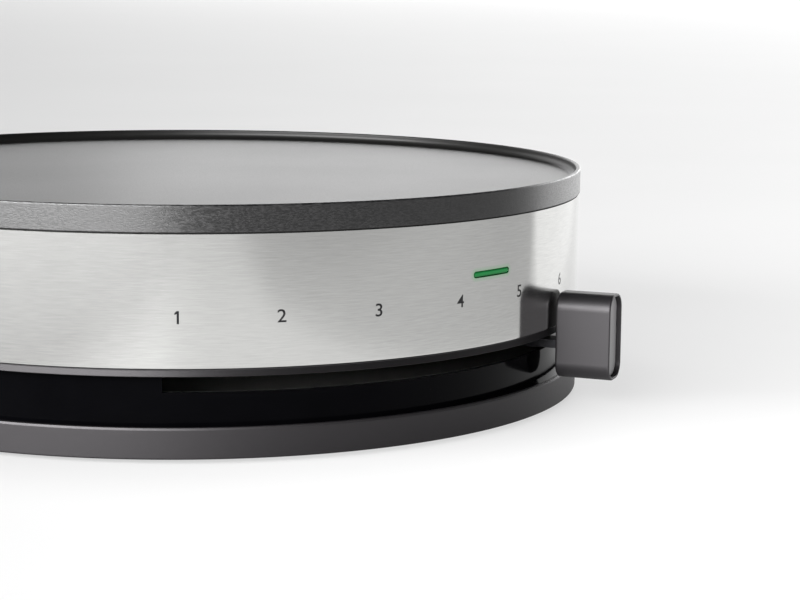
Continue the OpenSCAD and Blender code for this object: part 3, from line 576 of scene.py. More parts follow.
pebbled("rubber", (0.022, 0.022, 0.022), (0.05, 0.05, 0.05), (0.7, 0.9), 2200.0, (0.35, 0.06),
        Specular_IOR_Level=0.3)
pebbled("seal", (0.010, 0.010, 0.010), (0.022, 0.022, 0.022), (0.6, 0.8), 2600.0, (0.25, 0.04),
        Specular_IOR_Level=0.3)
pebbled("satin_knob", (0.004, 0.0036, 0.004), (0.009, 0.0082, 0.0092), (0.46, 0.53), 3000.0,
        (0.2, 0.03), Specular_IOR_Level=0.72, Specular_Tint=WARM_LACQUER)
pebbled("knob_plate", (0.30, 0.295, 0.30), (0.40, 0.395, 0.40), (0.50, 0.60), 3800.0, (0.1, 0.02),
        Specular_IOR_Level=0.3)
print("finishes so far", len(finishes))

# %% [markdown]
# The big mouldings are pale grey plastic, lacquered or polished black only where it shows. Inside
# the drum they stay as the mould leaves them, and that pale inside brightens the lever's slot. One
# mask by distance from the axis tells inside from outside. It ends a hair beyond the inner face of
# the recess wall, so that the edges of the slot stay black.

# %% Leave the mouldings bare inside
def overlaid(made, mask, colour):
    """Lays a colour over a finish's own wherever a mask is 1."""
    tree = made.node_tree
    base = tree.nodes["Principled BSDF"].inputs["Base Color"]
    tree.links.new(blend(tree, mask, base.links[0].from_socket, (*colour, 1.0)), base)
    return made


def inside_radius(tree, radius):
    """1 closer to the axis than this radius, and 0 beyond."""
    place = object_place(tree)
    flat = add_node(tree, "ShaderNodeVectorMath", {0: place, 1: (1.0, 1.0, 0.0)}, operation="MULTIPLY")
    reach = add_node(tree, "ShaderNodeVectorMath", {0: flat.outputs[0]}, operation="LENGTH")
    return math_node(tree, "LESS_THAN", reach.outputs["Value"], radius)


bare_plastic, bare_depth = (0.34, 0.34, 0.33), 2.55 * MM
bare_radius = high("recess_wall").x - bare_depth
for name, source in (("housing_moulding", "satin_trim"), ("recess_moulding", "gloss_black")):
    moulding = finishes[source].copy()
    moulding.name = name
    finishes[name] = overlaid(moulding, inside_radius(moulding.node_tree, bare_radius), bare_plastic)
print("bare within", round(bare_radius / MM, 1), "mm of the axis")

# %% [markdown]
# ## What is inside
# Nothing of the inside shows while the housing is closed, but a part that someone may open later
# should not be a grey lump: the ceramic, the woven sleeve, the white mouldings and the lamp get
# finishes of their own. Then every CAD part takes the finish that its slot in the record names,
# except the three mouldings that are bare inside.

# %% Finishes of the inner parts
pebbled("ceramic", (0.66, 0.62, 0.53), (0.84, 0.81, 0.74), (0.6, 0.8), 1400.0, (0.3, 0.06))
pebbled("glass_fibre", (0.55, 0.51, 0.40), (0.85, 0.81, 0.68), (0.6, 0.8), 1100.0, (0.6, 0.15))
pebbled("white_plastic", (0.70, 0.69, 0.65), (0.84, 0.83, 0.79), (0.35, 0.5), 2000.0, (0.15, 0.04))
drifting("lamp_glass", (0.80, 0.80, 0.76), (0.92, 0.92, 0.88), (0.02, 0.08), 120.0, (0.05, 0.05),
         drift=0.02, Alpha=0.45)
drifting("green_lens", (0.001, 0.03, 0.006), (0.002, 0.07, 0.015), (0.06, 0.14), 260.0, (0.08, 0.05),
         drift=0.02, Specular_IOR_Level=0.3, Emission_Strength=1.0)
slots = {part["node"]: part["material_slot"] for part in frame["record"]["subparts"]}
mouldings = {"upper_housing": "housing_moulding", "recess_wall": "recess_moulding",
             "base_tray": "recess_moulding"}
for name, cad_part in nodes.items():
    for holder in cad_part.material_slots:
        holder.material = finishes[mouldings.get(name, slots[name])]
print("finishes", len(finishes), "on", len(nodes), "CAD parts")

# %% [markdown]
# ## The hot plate
# A thick cast disc with a low rim: the rim is rounded on both edges and meets the cooking surface
# in a fillet, so batter can be lifted with a spatula. Below hang the ridge that holds the heating
# tube, and the pad for the thermostat. The disc is one section for the turning tree. The faces of
# its outer wall, all but the rounding at the bottom, get the finish of the turned edge.

# %% Turn the hot plate
rim_width, rim_rounding, rim_fillet, low_rounding = 1.9 * MM, 0.62 * MM, 2.5 * MM, 0.4 * MM
rim_inside = plate_radius - rim_width
ridge_radius, ridge_width, ridge_low = 112 * MM, 16 * MM, plate_underside - 7 * MM
ridge_out, ridge_in = ridge_radius + ridge_width / 2, ridge_radius - ridge_width / 2
pad_radius, pad_low = 33 * MM, plate_underside - 4 * MM
plate_section = rounded([
    (0.0, cooking_height, 0), (rim_inside, cooking_height, rim_fillet),
    (rim_inside, plate_top, rim_rounding), (plate_radius, plate_top, rim_rounding),
    (plate_radius, plate_underside, low_rounding), (ridge_out, plate_underside, 0),
    (ridge_out, ridge_low, 0), (ridge_in, ridge_low, 0), (ridge_in, plate_underside, 0),
    (pad_radius, plate_underside, 0), (pad_radius, pad_low, 0), (0.0, pad_low, 0)], steps=8)
plate_mesh = turned("hot_plate_turned", plate_section, finishes["plate_coating"], closed=False)
plate_mesh.materials.append(finishes["plate_edge"])
edge_from, edge_low = plate_radius - low_rounding, plate_underside + 0.3 * MM
for face in plate_mesh.polygons:
    face.material_index = int(face.center.xy.length > edge_from and face.center.z > edge_low)
print("turned edge on", sum(face.material_index for face in plate_mesh.polygons), "faces")


# %% [markdown]
# Three bosses for the plate's screws are a second, smaller section, set round the axis. Two meshes
# that belong to one casting become one piece, so that nobody can move one without the other.

# %% Add the bosses
def set_round(name, mesh, count, first, step, finish_used):
    """Copies of a mesh on the bolt circle. The first angle and the step are in degrees."""
    return grown(name, mesh, set_round_axis, **{
        "Count": count, "First Angle": math.radians(first), "Step": math.radians(step),
        "Radius": bolt_circle, "Finish": finish_used})


def merged(name, *meshes):
    """One mesh of several."""
    work = bmesh.new()
    for mesh in meshes:
        work.from_mesh(mesh)
    return mesh_from(work, name, *meshes[0].materials)


boss_low, boss_root, boss_radius = low("hot_plate").z, plate_underside + 0.2 * MM, 8 * MM
boss_section = [(0.0, boss_low), (boss_radius, boss_low), (boss_radius, boss_root), (0.0, boss_root)]
boss_mesh = turned("plate_boss", boss_section, finishes["plate_coating"], segments=48, closed=False)
bosses = set_round("plate_bosses", boss_mesh, 3, 90, 120, finishes["plate_coating"])
casting = merged("hot_plate_cast", plate_mesh, bosses)
piece("hot_plate_cast", casting, "housing", "plate_coating", "hot_plate")

# %% [markdown]
# ## The steel band
# The band is 0.8 mm sheet, rolled into a ring, with its top edge folded in over the housing. It is
# turned from its section.

# %% Turn the band
sheet, hem, burr = 0.8 * MM, 3.0 * MM, 0.1 * MM
band_inside, hem_end = band_radius - sheet, band_radius - sheet - hem
band_section = rounded([
    (band_inside, band_bottom, burr), (band_radius, band_bottom, 0.25 * MM), (band_radius, band_top, 0),
    (hem_end, band_top, burr), (hem_end, band_top - sheet, burr), (band_inside, band_top - sheet, 0)],
    steps=4, guard=0.2 * MM)
band_mesh = turned("steel_band_rolled", band_section, finishes["brushed_steel"], segments=512)


# %% [markdown]
# The indicator's slot is cut with a stadium-shaped block, as a punch would. A block, the indicator
# and the knob are all the same thing in mesh code, a stack of equal outlines with a skin round it,
# so one helper makes the skin, and another stands an outline up so that it faces outwards.

# %% Outlines, and a skin round them
def stadium(length, height, steps=14):
    """Outline of a bar with half-round ends, as (across, up) points."""
    points = []
    for side in (1, -1):
        for k in range(steps + 1):
            angle = math.pi * (k / steps - 0.5)
            points.append((side * ((length - height) / 2 + math.cos(angle) * height / 2),
                           side * math.sin(angle) * height / 2))
    return points


def facing(outline, angle, radius, height):
    """An outline of (across, up) points, upright, facing outwards at an angle round the body."""
    across = Vector((math.cos(angle), math.sin(angle), 0.0))
    middle = on_ring(angle, radius, height)
    return [middle + across * x + Vector((0, 0, y)) for x, y in outline]


def skinned(name, loops, *used):
    """A closed mesh through a stack of outlines that have equal numbers of points."""
    work = bmesh.new()
    rings = [[work.verts.new(point) for point in loop] for loop in loops]
    for first, second in zip(rings, rings[1:]):
        for k in range(len(first)):
            n = (k + 1) % len(first)
            work.faces.new((first[k], first[n], second[n], second[k]))
    work.faces.new(rings[0])
    work.faces.new(rings[-1])
    return settled(mesh_from(work, name, *used))


# %% [markdown]
# The indicator sits between the marks 4 and 5. The punch is longer than the sheet is thick, so it
# cuts clean through.

# %% Punch the slot
lens_angle = math.radians(43.4)
lens_height = (low("indicator_lens").z + high("indicator_lens").z) / 2
lens_length, lens_width = 21.4 * MM, 2.6 * MM
lens_back, punch_end = band_radius - 6 * MM, band_radius + 4 * MM
slot_outline = stadium(lens_length, lens_width)
punch = skinned("punch", [
    facing(slot_outline, lens_angle, radius, lens_height) for radius in (lens_back, punch_end)])
piece("steel_band_rolled", carved(band_mesh, punch), "housing", "brushed_steel", "steel_band")


# %% [markdown]
# Below the band runs a lacquered lip, which leans back a little so that it catches the same light as
# the plate's edge, and whose lacquer is darker to paint in the shade under the band. The band doesn't
# touch it, and the narrow seam between them holds a thin black strip: a painted shadow, which draws
# the dark line under the steel.

# %% Turn the lip, and paint the seam's shadow above it with a black strip
seam_height, lip_bottom = 0.6 * MM, band_bottom - 3.0 * MM
lip_radius, lip_lean, lip_depth = band_radius - 0.6 * MM, 0.42 * MM, 0.9 * MM
lip_back, lip_top = lip_radius - lip_depth, band_bottom - seam_height
lip_section = rounded([
    (lip_back, lip_bottom, 0.1 * MM), (lip_radius + lip_lean, lip_bottom, 0.2 * MM),
    (lip_radius, lip_top, 0.15 * MM), (lip_back, lip_top, 0)], steps=4, guard=0.05 * MM)
piece("lip_trim", turned("lip_trim", lip_section, finishes["lip_lacquer_shaded"]), "housing", "satin_trim")
# A black strip in the seam: painted shadow for the dark line under the band.
shadow_strip_sink = 0.1 * MM
shadow_strip_radius, shadow_strip_low = lip_radius - shadow_strip_sink, lip_top - shadow_strip_sink
shadow_strip_section = rounded([
    (lip_back, shadow_strip_low, 0), (shadow_strip_radius, shadow_strip_low, 0), (shadow_strip_radius, band_bottom, 0.1 * MM),
    (lip_back, band_bottom, 0)], steps=3, guard=0.05 * MM)
shadow_strip_mesh = turned("seam_shadow_strip", shadow_strip_section, finishes["gloss_black"])
piece("seam_shadow_strip", shadow_strip_mesh, "housing", "gloss_black")

# %% [markdown]
# ## The indicator
# A light pipe of clear green plastic, pushed through the slot from behind. Its face is slightly
# domed, so it carries one small highlight, and the gap round it shows as a dark line. The dome is
# a stack of outlines that draw in as they rise.

# %% Shape the indicator
def domed_bar(name, length, height, angle, level, back, front, crown, finish_used, rings=6):
    """A bar with half-round ends that faces outwards, with a softly rounded face."""
    sideways = 1.6 * crown
    stack = [(back, 0.0)]
    for k in range(rings + 1):
        turn = math.pi / 2 * k / rings
        stack.append((front - crown + crown * math.sin(turn), sideways * (1 - math.cos(turn))))
    loops = []
    for reach, inset in stack:
        outline = stadium(length - 2 * inset, height - 2 * inset)
        loops.append([on_ring(angle + x / front, reach, level + y) for x, y in outline])
    return skinned(name, loops, finish_used)


lens_gap, lens_set_back, lens_crown = 0.15 * MM, 0.1 * MM, 0.45 * MM
lens_mesh = domed_bar("indicator_light_pipe", lens_length - 2 * lens_gap, lens_width - 2 * lens_gap,
                      lens_angle, lens_height, lens_back, band_radius - lens_set_back, lens_crown,
                      finishes["green_lens"])
piece("indicator_light_pipe", lens_mesh, "housing", "green_lens", "indicator_lens")


# %% [markdown]
# The lamp behind the pipe lights its middle more than its edges, and a little of its light spills on
# the steel: that spill is painted light, a green tint laid into the steel's colour round the slot.
# Both depend on the same thing, the distance from the pipe's middle line, so that is a shared group.
# It also rules out the far side of the body, where the same numbers come back.

# %% Let the lamp shine
def round_indicator_group():
    """Distance from the middle line of the indicator, in metres."""
    tree, given, out = shader_group("round_indicator", [("Place", None)], ["Distance"])
    place = add_node(tree, "ShaderNodeSeparateXYZ", {"Vector": given["Place"]}).outputs
    sine, cosine = math.sin(lens_angle), math.cos(lens_angle)
    along = math_node(tree, "ADD", math_node(tree, "MULTIPLY", place["X"], cosine),
                      math_node(tree, "MULTIPLY", place["Y"], sine))
    outward = math_node(tree, "SUBTRACT", math_node(tree, "MULTIPLY", place["X"], sine),
                        math_node(tree, "MULTIPLY", place["Y"], cosine))
    past_end = math_node(tree, "MAXIMUM", math_node(tree, "SUBTRACT", math_node(
        tree, "ABSOLUTE", along), (lens_length - lens_width) / 2), 0.0)
    off_level = math_node(tree, "SUBTRACT", place["Z"], lens_height)
    squares = [math_node(tree, "MULTIPLY", part, part) for part in (past_end, off_level)]
    distance = math_node(tree, "SQRT", math_node(tree, "ADD", *squares))
    behind = math_node(tree, "LESS_THAN", outward, 0.0)
    tree.links.new(math_node(tree, "ADD", distance, behind), out["Distance"])
    return tree


def lamp_mask(tree, full, none):
    """1 up to one distance from the indicator's middle line, and fading to 0 at the other."""
    lamp = add_node(tree, "ShaderNodeGroup", node_tree=round_indicator)
    tree.links.new(object_place(tree), lamp.inputs["Place"])
    return ramp(tree, lamp.outputs["Distance"], full, none, 1.0, 0.0)


round_indicator = round_indicator_group()
lens_tree = finishes["green_lens"].node_tree
lens_glow = lamp_mask(lens_tree, 0.2 * MM, 1.0 * MM)
shine = blend(lens_tree, lens_glow, (0.0, 0.03, 0.005, 1.0), (0.004, 0.16, 0.034, 1.0))
lens_tree.links.new(shine, lens_tree.nodes["Principled BSDF"].inputs["Emission Color"])
# Painted light: the lamp's green spill is mixed into the steel's base colour near the slot.
steel_tree, painted_spill_share, painted_spill_colour = finishes["brushed_steel"].node_tree, 0.8, (0.40, 0.62, 0.42)
spill = math_node(steel_tree, "MULTIPLY", lamp_mask(steel_tree, 1.3 * MM, 2.9 * MM), painted_spill_share)
overlaid(finishes["brushed_steel"], spill, painted_spill_colour)
print("spill of light on", steel_tree.name)

# %% [markdown]
# ## The printed marks
# Six small figures are printed on the steel, one for each temperature. They are text, turned into a
# mesh first and then wrapped round the band point by point. The strokes are made a little bolder
# than the font has them, least of all in the 4, whose strokes cross, and the font's plain 1 gets a
# flag. A film of ink is very thin, yet not zero, so each figure gets a quarter of the thickness of
# paper and stays clear of the steel.

# %% Wrap a figure round the band
mark_level, mark_size, mark_widening = 54.1 * MM, 6.8 * MM, 1.1
bolder, bolder_four = 0.05 * MM, 0.03 * MM
ink_from, ink_to = band_radius + 0.005 * MM, band_radius + 0.03 * MM
flag = [(0.0, 0.0), (0.0, -0.15), (-0.12, -0.22), (-0.12, -0.11)]


def add_flag(work):
    """Draws the flag of a 1 at the top left of its upright. The flag is given in shares of the size."""
    left = min(v.co.x for v in work.verts) + 0.02 * MM
    top = max(v.co.y for v in work.verts)
    work.faces.new([work.verts.new((left + x * mark_size, top + y * mark_size, 0.0)) for x, y in flag])


def printed(text, angle):
    """A figure, wrapped on the band at an angle: an underside, a top, and walls round its edges."""
    curve = bpy.data.curves.new("mark", "FONT")
    curve.body, curve.size, curve.align_x, curve.align_y = text, mark_size, "CENTER", "CENTER"
    curve.resolution_u, curve.offset = 6, (bolder_four if text == "4" else bolder)
    mesh = run_modifiers(placed("mark", curve), "mark")
    mesh.transform(Matrix.Diagonal((mark_widening, 1.0, 1.0, 1.0)))
    work = bmesh.new()
    work.from_mesh(mesh)
    if text == "1":
        add_flag(work)
    bmesh.ops.remove_doubles(work, verts=work.verts, dist=SAME_POINT)
    lows = [min(v.co[axis] for v in work.verts) for axis in (0, 1)]
    highs = [max(v.co[axis] for v in work.verts) for axis in (0, 1)]
    across, up = (lows[0] + highs[0]) / 2, (lows[1] + highs[1]) / 2
    work.verts.index_update()
    count = len(work.verts)
    points = [on_ring(angle + (v.co.x - across) / band_radius, radius, mark_level + v.co.y - up)
              for radius in (ink_from, ink_to) for v in work.verts]
    under = [[v.index for v in face.verts] for face in work.faces]
    over = [[count + i for i in face] for face in under]
    rims = [[v.index for v in edge.verts] for edge in work.edges if edge.is_boundary]
    walls = [(a, b, count + b, count + a) for a, b in rims]
    work.free()
    film = bpy.data.meshes.new("mark")
    film.from_pydata(points, [], under + over + walls)
    return film


# %% [markdown]
# All six figures are one piece with one satin ink, as a single pass of the printing pad leaves them.

# %% Ink them on the band
ink = pebbled("mark_ink", (0.002, 0.002, 0.0024), (0.006, 0.006, 0.007), (0.12, 0.2), 5000.0, (0.1, 0.01),
              Specular_IOR_Level=0.4)
marks_mesh = merged("temperature_marks", *[
    printed(str(number), angle) for number, angle in enumerate(mark_angles, start=1)])
marks_mesh.materials.append(ink)
piece("temperature_marks", settled(marks_mesh), "housing", "matte_black")

# %% [markdown]
# ## The base ring
# A lacquered ring that the whole object seems to float on. Its lower edge is rounded, and its upper
# edge tapers in a little: that narrow face leans back towards the light, and draws the bright line
# under the recess. Inside, a flange carries the black ledge, which lies a little below the ring's
# top.

# %% Turn the base ring
wall, flange_width, flange_height = 1.6 * MM, 13.4 * MM, 2.0 * MM
ledge_drop, tray_thickness = 0.8 * MM, 2.0 * MM
taper_width, taper_height = 0.24 * MM, 0.9 * MM
ring_inside, flange_end = ring_radius - wall, ring_radius - wall - flange_width
flange_top = ring_top - ledge_drop - tray_thickness
flange_low = flange_top - flange_height
ring_section = rounded([
    (ring_inside, ring_bottom, 0.15 * MM), (ring_radius, ring_bottom, 0.5 * MM),
    (ring_radius, ring_top - taper_height, 0.5 * MM), (ring_radius - taper_width, ring_top, 0.2 * MM),
    (ring_inside, ring_top, 0.15 * MM), (ring_inside, flange_top, 0), (flange_end, flange_top, 0),
    (flange_end, flange_low, 0), (ring_inside, flange_low, 0)], steps=5, guard=0.25 * MM)
ring_mesh = turned("base_ring_moulded", ring_section, finishes["satin_trim"])
piece("base_ring_moulded", ring_mesh, "housing", "satin_trim", "base_ring")


# %% [markdown]
# ## The knob
# The knob is an upright bar with generous corners that stands out from the rim on the lever's arm.
# Its outline is the same all along, so the body is a loft: the outline drawn in at both ends for
# the round edges, then turned inwards to make the shallow hollow that holds the end plate.

# %% An upright outline, and a loft
def bar_outline(width, height, corner, steps=12, guard=0.35 * MM):
    """Outline of an upright bar with round corners, as (across, up) points."""
    w, h = width / 2, height / 2
    return [tuple(p) for p in rounded(
        [(w, -h, corner), (w, h, corner), (-w, h, corner), (-w, -h, corner)], steps, guard)]


def lofted(name, width, height, corner, stack, middle, finish_used):
    """Skins a stack of (reach, inset) outlines that face outwards at the lever's angle."""
    least_corner = 0.2 * MM
    return skinned(name, [
        facing(bar_outline(width - 2 * inset, height - 2 * inset, max(corner - inset, least_corner)),
               lever_angle, reach, middle) for reach, inset in stack], finish_used)


# %% [markdown]
# The stack runs from the knob's inner end outwards: a rounded edge, the straight body, the outer
# edge, and then back into the hollow round a smaller edge. A flat stretch beside each rounding keeps
# the shading of the sides even.

# %% Loft the knob
knob_width, knob_corner = 17.4 * MM, 6.5 * MM
knob_low, knob_high = low("knob_grip").z, high("knob_grip").z
knob_middle, knob_height = (knob_low + knob_high) / 2, knob_high - knob_low
knob_inner, knob_outer = 166.3 * MM, 189.0 * MM
knob_wall, hollow, end_plate = 1.1 * MM, 1.9 * MM, 1.2 * MM
back_edge, front_edge, hollow_edge, flat = 1.0 * MM, 0.6 * MM, 0.3 * MM, 0.4 * MM
quarter = [math.pi / 2 * k / 8 for k in range(9)]
knob_stack = [(knob_inner + back_edge * (1 - math.sin(t)), back_edge * (1 - math.cos(t)))
              for t in reversed(quarter)]
knob_stack += [(knob_inner + back_edge + flat, 0.0), (knob_outer - front_edge - flat, 0.0)]
knob_stack += [(knob_outer - front_edge * (1 - math.sin(t)), front_edge * (1 - math.cos(t)))
               for t in quarter]
knob_stack += [(knob_outer - hollow_edge * (1 - math.cos(t)), knob_wall - hollow_edge * (1 - math.sin(t)))
               for t in quarter]
knob_stack += [(knob_outer - 2 * hollow_edge, knob_wall), (knob_outer - hollow - end_plate, knob_wall)]
knob_mesh = lofted("lever_knob", knob_width, knob_height, knob_corner, knob_stack, knob_middle,
                   finishes["satin_knob"])
print("knob", len(knob_mesh.polygons), "faces")

# %% [markdown]
# The arm slides into a slot in the knob's inner end, and one screw from below holds it. Both
# openings are cut from the finished loft. Each cutter starts 1 mm outside the knob, so that it cuts
# clean through the surface.

# %% Cut the knob's openings
play, outside = 0.1 * MM, 1 * MM
slot_side, slot_end = 5 * MM + play, knob_inner + 15.2 * MM
slot_low, slot_high = low("lever_arm").z - play, high("lever_arm").z + play
arm_outline = [(-slot_side, slot_low), (slot_side, slot_low),
               (slot_side, slot_high), (-slot_side, slot_high)]
arm_slot = skinned("arm_slot", [
    facing(arm_outline, lever_angle, radius, 0.0) for radius in (knob_inner - outside, slot_end)])
well_radius, well_low, well_top = 2.95 * MM, knob_low - outside, low("lever_arm").z - 4.4 * MM
well_reach = knob_inner + 7.5 * MM
well_section = [(0.0, well_low), (well_radius, well_low), (well_radius, well_top), (0.0, well_top)]
screw_well = turned("screw_well", well_section, finishes["satin_knob"], segments=48, closed=False)
screw_well.transform(Matrix.Translation(on_ring(lever_angle, well_reach)))
piece("lever_knob", carved(knob_mesh, arm_slot, screw_well), "lever", "satin_knob", "knob_grip")

# %% [markdown]
# The end plate is a separate disc, pressed into the hollow, with a fine chamfer round it.

# %% Press in the end plate
cap_inset, chamfer, cap_flat = knob_wall + 0.15 * MM, 0.25 * MM, 0.6 * MM
cap_face = knob_outer - hollow
cap_stack = [(cap_face - end_plate, cap_inset), (cap_face - chamfer, cap_inset),
             (cap_face, cap_inset + chamfer), (cap_face, cap_inset + cap_flat)]
cap_mesh = lofted("knob_end_plate", knob_width, knob_height, knob_corner, cap_stack, knob_middle,
                  finishes["knob_plate"])
piece("knob_end_plate", cap_mesh, "lever", "knob_plate", "knob_cap")

# %% [markdown]
# ## The feet
# Four rubber feet sit in the cover. Each is a small turned part with a rounded tread, a groove that
# lets it grip, and a stem with a barb that holds it in its hole. The second tree sets them round the
# axis.

# %% Mould one foot, and set four
foot_radius, tread_radius, tread_high, seat_level = 9 * MM, 8 * MM, 1 * MM, 3.2 * MM
groove_in, groove_out, groove_high, groove_slope = 4.2 * MM, 5.8 * MM, 0.5 * MM, 0.3 * MM
stem_radius, barb_radius, barb_height = 2.9 * MM, 3.9 * MM, 1.2 * MM
foot_top = high("rubber_feet").z
foot_section = rounded([
    (0.0, 0.0, 0), (groove_in, 0.0, 0.2 * MM), (groove_in + groove_slope, groove_high, 0.15 * MM),
    (groove_out - groove_slope, groove_high, 0.15 * MM), (groove_out, 0.0, 0.2 * MM),
    (tread_radius, 0.0, 0.5 * MM), (foot_radius, tread_high, 0.3 * MM),
    (foot_radius, seat_level, 0.2 * MM), (stem_radius, seat_level, 0),
    (stem_radius, foot_top - barb_height, 0), (barb_radius, foot_top - barb_height, 0),
    (barb_radius, foot_top, 0.3 * MM), (0.0, foot_top, 0)], steps=3, guard=0.1 * MM)
foot_mesh = turned("foot", foot_section, finishes["rubber"], segments=72, closed=False)
feet_mesh = set_round("rubber_feet_moulded", foot_mesh, 4, 45, 90, finishes["rubber"])
piece("rubber_feet_moulded", feet_mesh, "housing", "rubber", "rubber_feet")

# %% [markdown]
# ## The base screws
# Five pan-head screws clamp the cover, the ring and the tray to the housing. The head is turned,
# and a cross recess is cut into it with two crossed wedges, which narrow as they go in.

# %% Turn one screw, cut its recess, and set five
head_low, shank_top = low("base_screws").z, high("base_screws").z
head_radius, head_top, shank_radius = 3.8 * MM, head_low + 2.4 * MM, 1.9 * MM
wedge_size, wedge_taper = (4.2 * MM, 0.9 * MM, 3.0 * MM, 1.0), 0.45
screw_section = rounded([
    (0.0, head_low, 0), (head_radius, head_low, 1.0 * MM), (head_radius, head_top, 0.2 * MM),
    (shank_radius, head_top, 0), (shank_radius, shank_top, 0.3 * MM), (0.0, shank_top, 0)],
    steps=5, guard=0.1 * MM)
screw_mesh = turned("screw", screw_section, finishes["plated_steel"], segments=60, closed=False)
cross = []
for turn in (0.0, math.pi / 2):
    wedge = bmesh.new()
    bmesh.ops.create_cube(wedge, size=1.0, matrix=Matrix.Diagonal(wedge_size))
    for corner in wedge.verts:
        if corner.co.z > 0:
            corner.co.xy *= wedge_taper
    bar = mesh_from(wedge, "recess_bar")
    bar.transform(Matrix.Translation((0.0, 0.0, head_low)) @ Matrix.Rotation(turn, 4, "Z"))
    cross.append(bar)
screw_mesh = carved(screw_mesh, *cross)
screws_mesh = set_round("base_screws_set", screw_mesh, 5, 100, 51, finishes["plated_steel"])
piece("base_screws_set", screws_mesh, "housing", "plated_steel", "base_screws")

# %% [markdown]
# ## The cord gland
# At the back a moulded gland closes the hole for the mains cord. Its flange is rounded and its bore
# flares slightly, so that the cord isn't bent over an edge. It is turned upright, head down, and
# then laid along the cord.

# %% Turn the gland
gland_out, gland_in = high("cord_gland").y, low("cord_gland").y
bore, flange_radius, neck_radius, flange_thick = 3.7 * MM, 7.5 * MM, 5.5 * MM, 2.5 * MM
flange_back = -gland_out + flange_thick
gland_section = rounded([
    (bore, -gland_out, 0.6 * MM), (flange_radius, -gland_out, 0.8 * MM),
    (flange_radius, flange_back, 0.15 * MM), (neck_radius, flange_back, 0),
    (neck_radius, -gland_in, 0.3 * MM), (bore, -gland_in, 0.2 * MM)], steps=5, guard=0.15 * MM)
gland_mesh = turned("cord_gland_moulded", gland_section, finishes["matte_black"], segments=96)
to_inlet = Matrix.Translation((0.0, 0.0, mounts["cord_inlet"].z))
gland_mesh.transform(to_inlet @ Matrix.Rotation(math.pi / 2, 4, "X"))
piece("cord_gland_moulded", settled(gland_mesh), "housing", "matte_black", "cord_gland")

# %% [markdown]
# ## The floor
# The object stands on a large pale sheet under studio light. The sheet glows faintly, as a light
# table does, which keeps shadows soft, and a little more to the right than to the left. Just in front
# of the body it glows more still: painted light that washes out the body's shadow there.

# %% A disc on the floor
SHEET_RADIUS = 14.0


def disc(name, level, finish_used):
    """A flat disc on the floor, which is no part of the object."""
    work = bmesh.new()
    bmesh.ops.create_circle(work, cap_ends=True, segments=128, radius=SHEET_RADIUS)
    bmesh.ops.translate(work, verts=work.verts, vec=(0.0, 0.0, level))
    made = placed(name, mesh_from(work, name, finish_used))
    print(name, "at height", round(level / MM, 2), "mm")
    return made


# %% [markdown]
# How brightly the sheet glows depends on where a point lies on it: how far in front, and how far to
# the right as seen from there.

# %% Lay the floor
def floor_place(tree):
    """A point's place on the floor, its X and Y, and how far right it lies, seen from 1 m in front."""
    place = object_place(tree)
    spot = add_node(tree, "ShaderNodeSeparateXYZ", {"Vector": place}).outputs
    depth = math_node(tree, "ADD", math_node(tree, "MAXIMUM", spot["Y"], -0.5), 1.0)
    return place, spot["X"], spot["Y"], math_node(tree, "DIVIDE", spot["X"], depth)


def glowing(made, glow, *shares):
    """Lets a finish glow by a brightness times some shares."""
    tree = made.node_tree
    for share in shares:
        glow = math_node(tree, "MULTIPLY", glow, share)
    shader = tree.nodes["Principled BSDF"]
    tree.links.new(glow, shader.inputs["Emission Color"])
    shader.inputs["Emission Strength"].default_value = 1.0


floor_finish = drifting(
    "floor_sheet", (0.21, 0.21, 0.21), (0.23, 0.23, 0.23), (0.75, 0.85), 3.0, (0.0, 0.01))
floor_tree = floor_finish.node_tree
_, _, deep, aside = floor_place(floor_tree)
left_to_right = ramp(floor_tree, aside, -0.15, 0.28, 0.41, 0.62)
# Painted light: the glow rises just in front of the body, so that its shadow there fades.
brighter_in_front = ramp(floor_tree, deep, -0.22, -0.04, 1.35, 1.0)
glowing(floor_finish, left_to_right, brighter_in_front)
floor = disc("floor", 0.0, floor_finish)
floor.visible_glossy = False

# %% [markdown]
# ## What the steel mirrors
# Polished metal is only as good as what it mirrors. In a studio, cards lie round the object, out of
# view: a dark one dims the far left, a darker strip with a bright card behind it lies to the right
# and gives the steel its grey band and its sharp bright edge, and the floor close to the body is in
# its shade. Here all of them are drawn on one sheet just above the floor that only reflections see.

# %% Lay the cards
card_finish = drifting(
    "reflection_card", (0.13, 0.13, 0.13), (0.15, 0.15, 0.15), (0.75, 0.85), 3.0, (0.0, 0.01))
card_tree = card_finish.node_tree
place, across, deep, aside = floor_place(card_tree)
strip_slope = 0.49
behind_line = math_node(card_tree, "SUBTRACT", deep, math_node(card_tree, "MULTIPLY", across, strip_slope))
dark_then_bright = ramp(card_tree, behind_line, -0.19, -0.14, 0.62, 1.3)
on_right = ramp(card_tree, aside, 0.29, 0.35, 0.0, 1.0)
right_cards = add_node(card_tree, "ShaderNodeMix", {"Factor": on_right, "A": 1.0, "B": dark_then_bright})
reach = add_node(card_tree, "ShaderNodeVectorMath", {0: place}, operation="LENGTH").outputs["Value"]
left_to_right = ramp(card_tree, aside, -0.15, 0.28, 0.57, 0.78)
brighter_in_front = ramp(card_tree, deep, -0.24, 0.0, 1.14, 1.0)
dim_far_in_front = ramp(card_tree, deep, -0.74, -0.42, 0.66, 1.0)
left_card = ramp(card_tree, aside, -0.28, -0.09, 0.15, 1.0)
shade_of_body = ramp(card_tree, reach, 0.18, 0.215, 0.35, 1.0)
glowing(card_finish, left_to_right, brighter_in_front, dim_far_in_front, right_cards.outputs["Result"],
        left_card, shade_of_body)
cards = disc("reflection_cards", 0.2 * MM, card_finish)
cards.visible_camera = cards.visible_diffuse = cards.visible_shadow = cards.visible_transmission = False

# %% [markdown]
# ## The light
# One long, low softbox stands to the left: it draws the bright end of every dark surface and the
# band of light on the knob. Three white screens stand far off, two behind and one to the right.

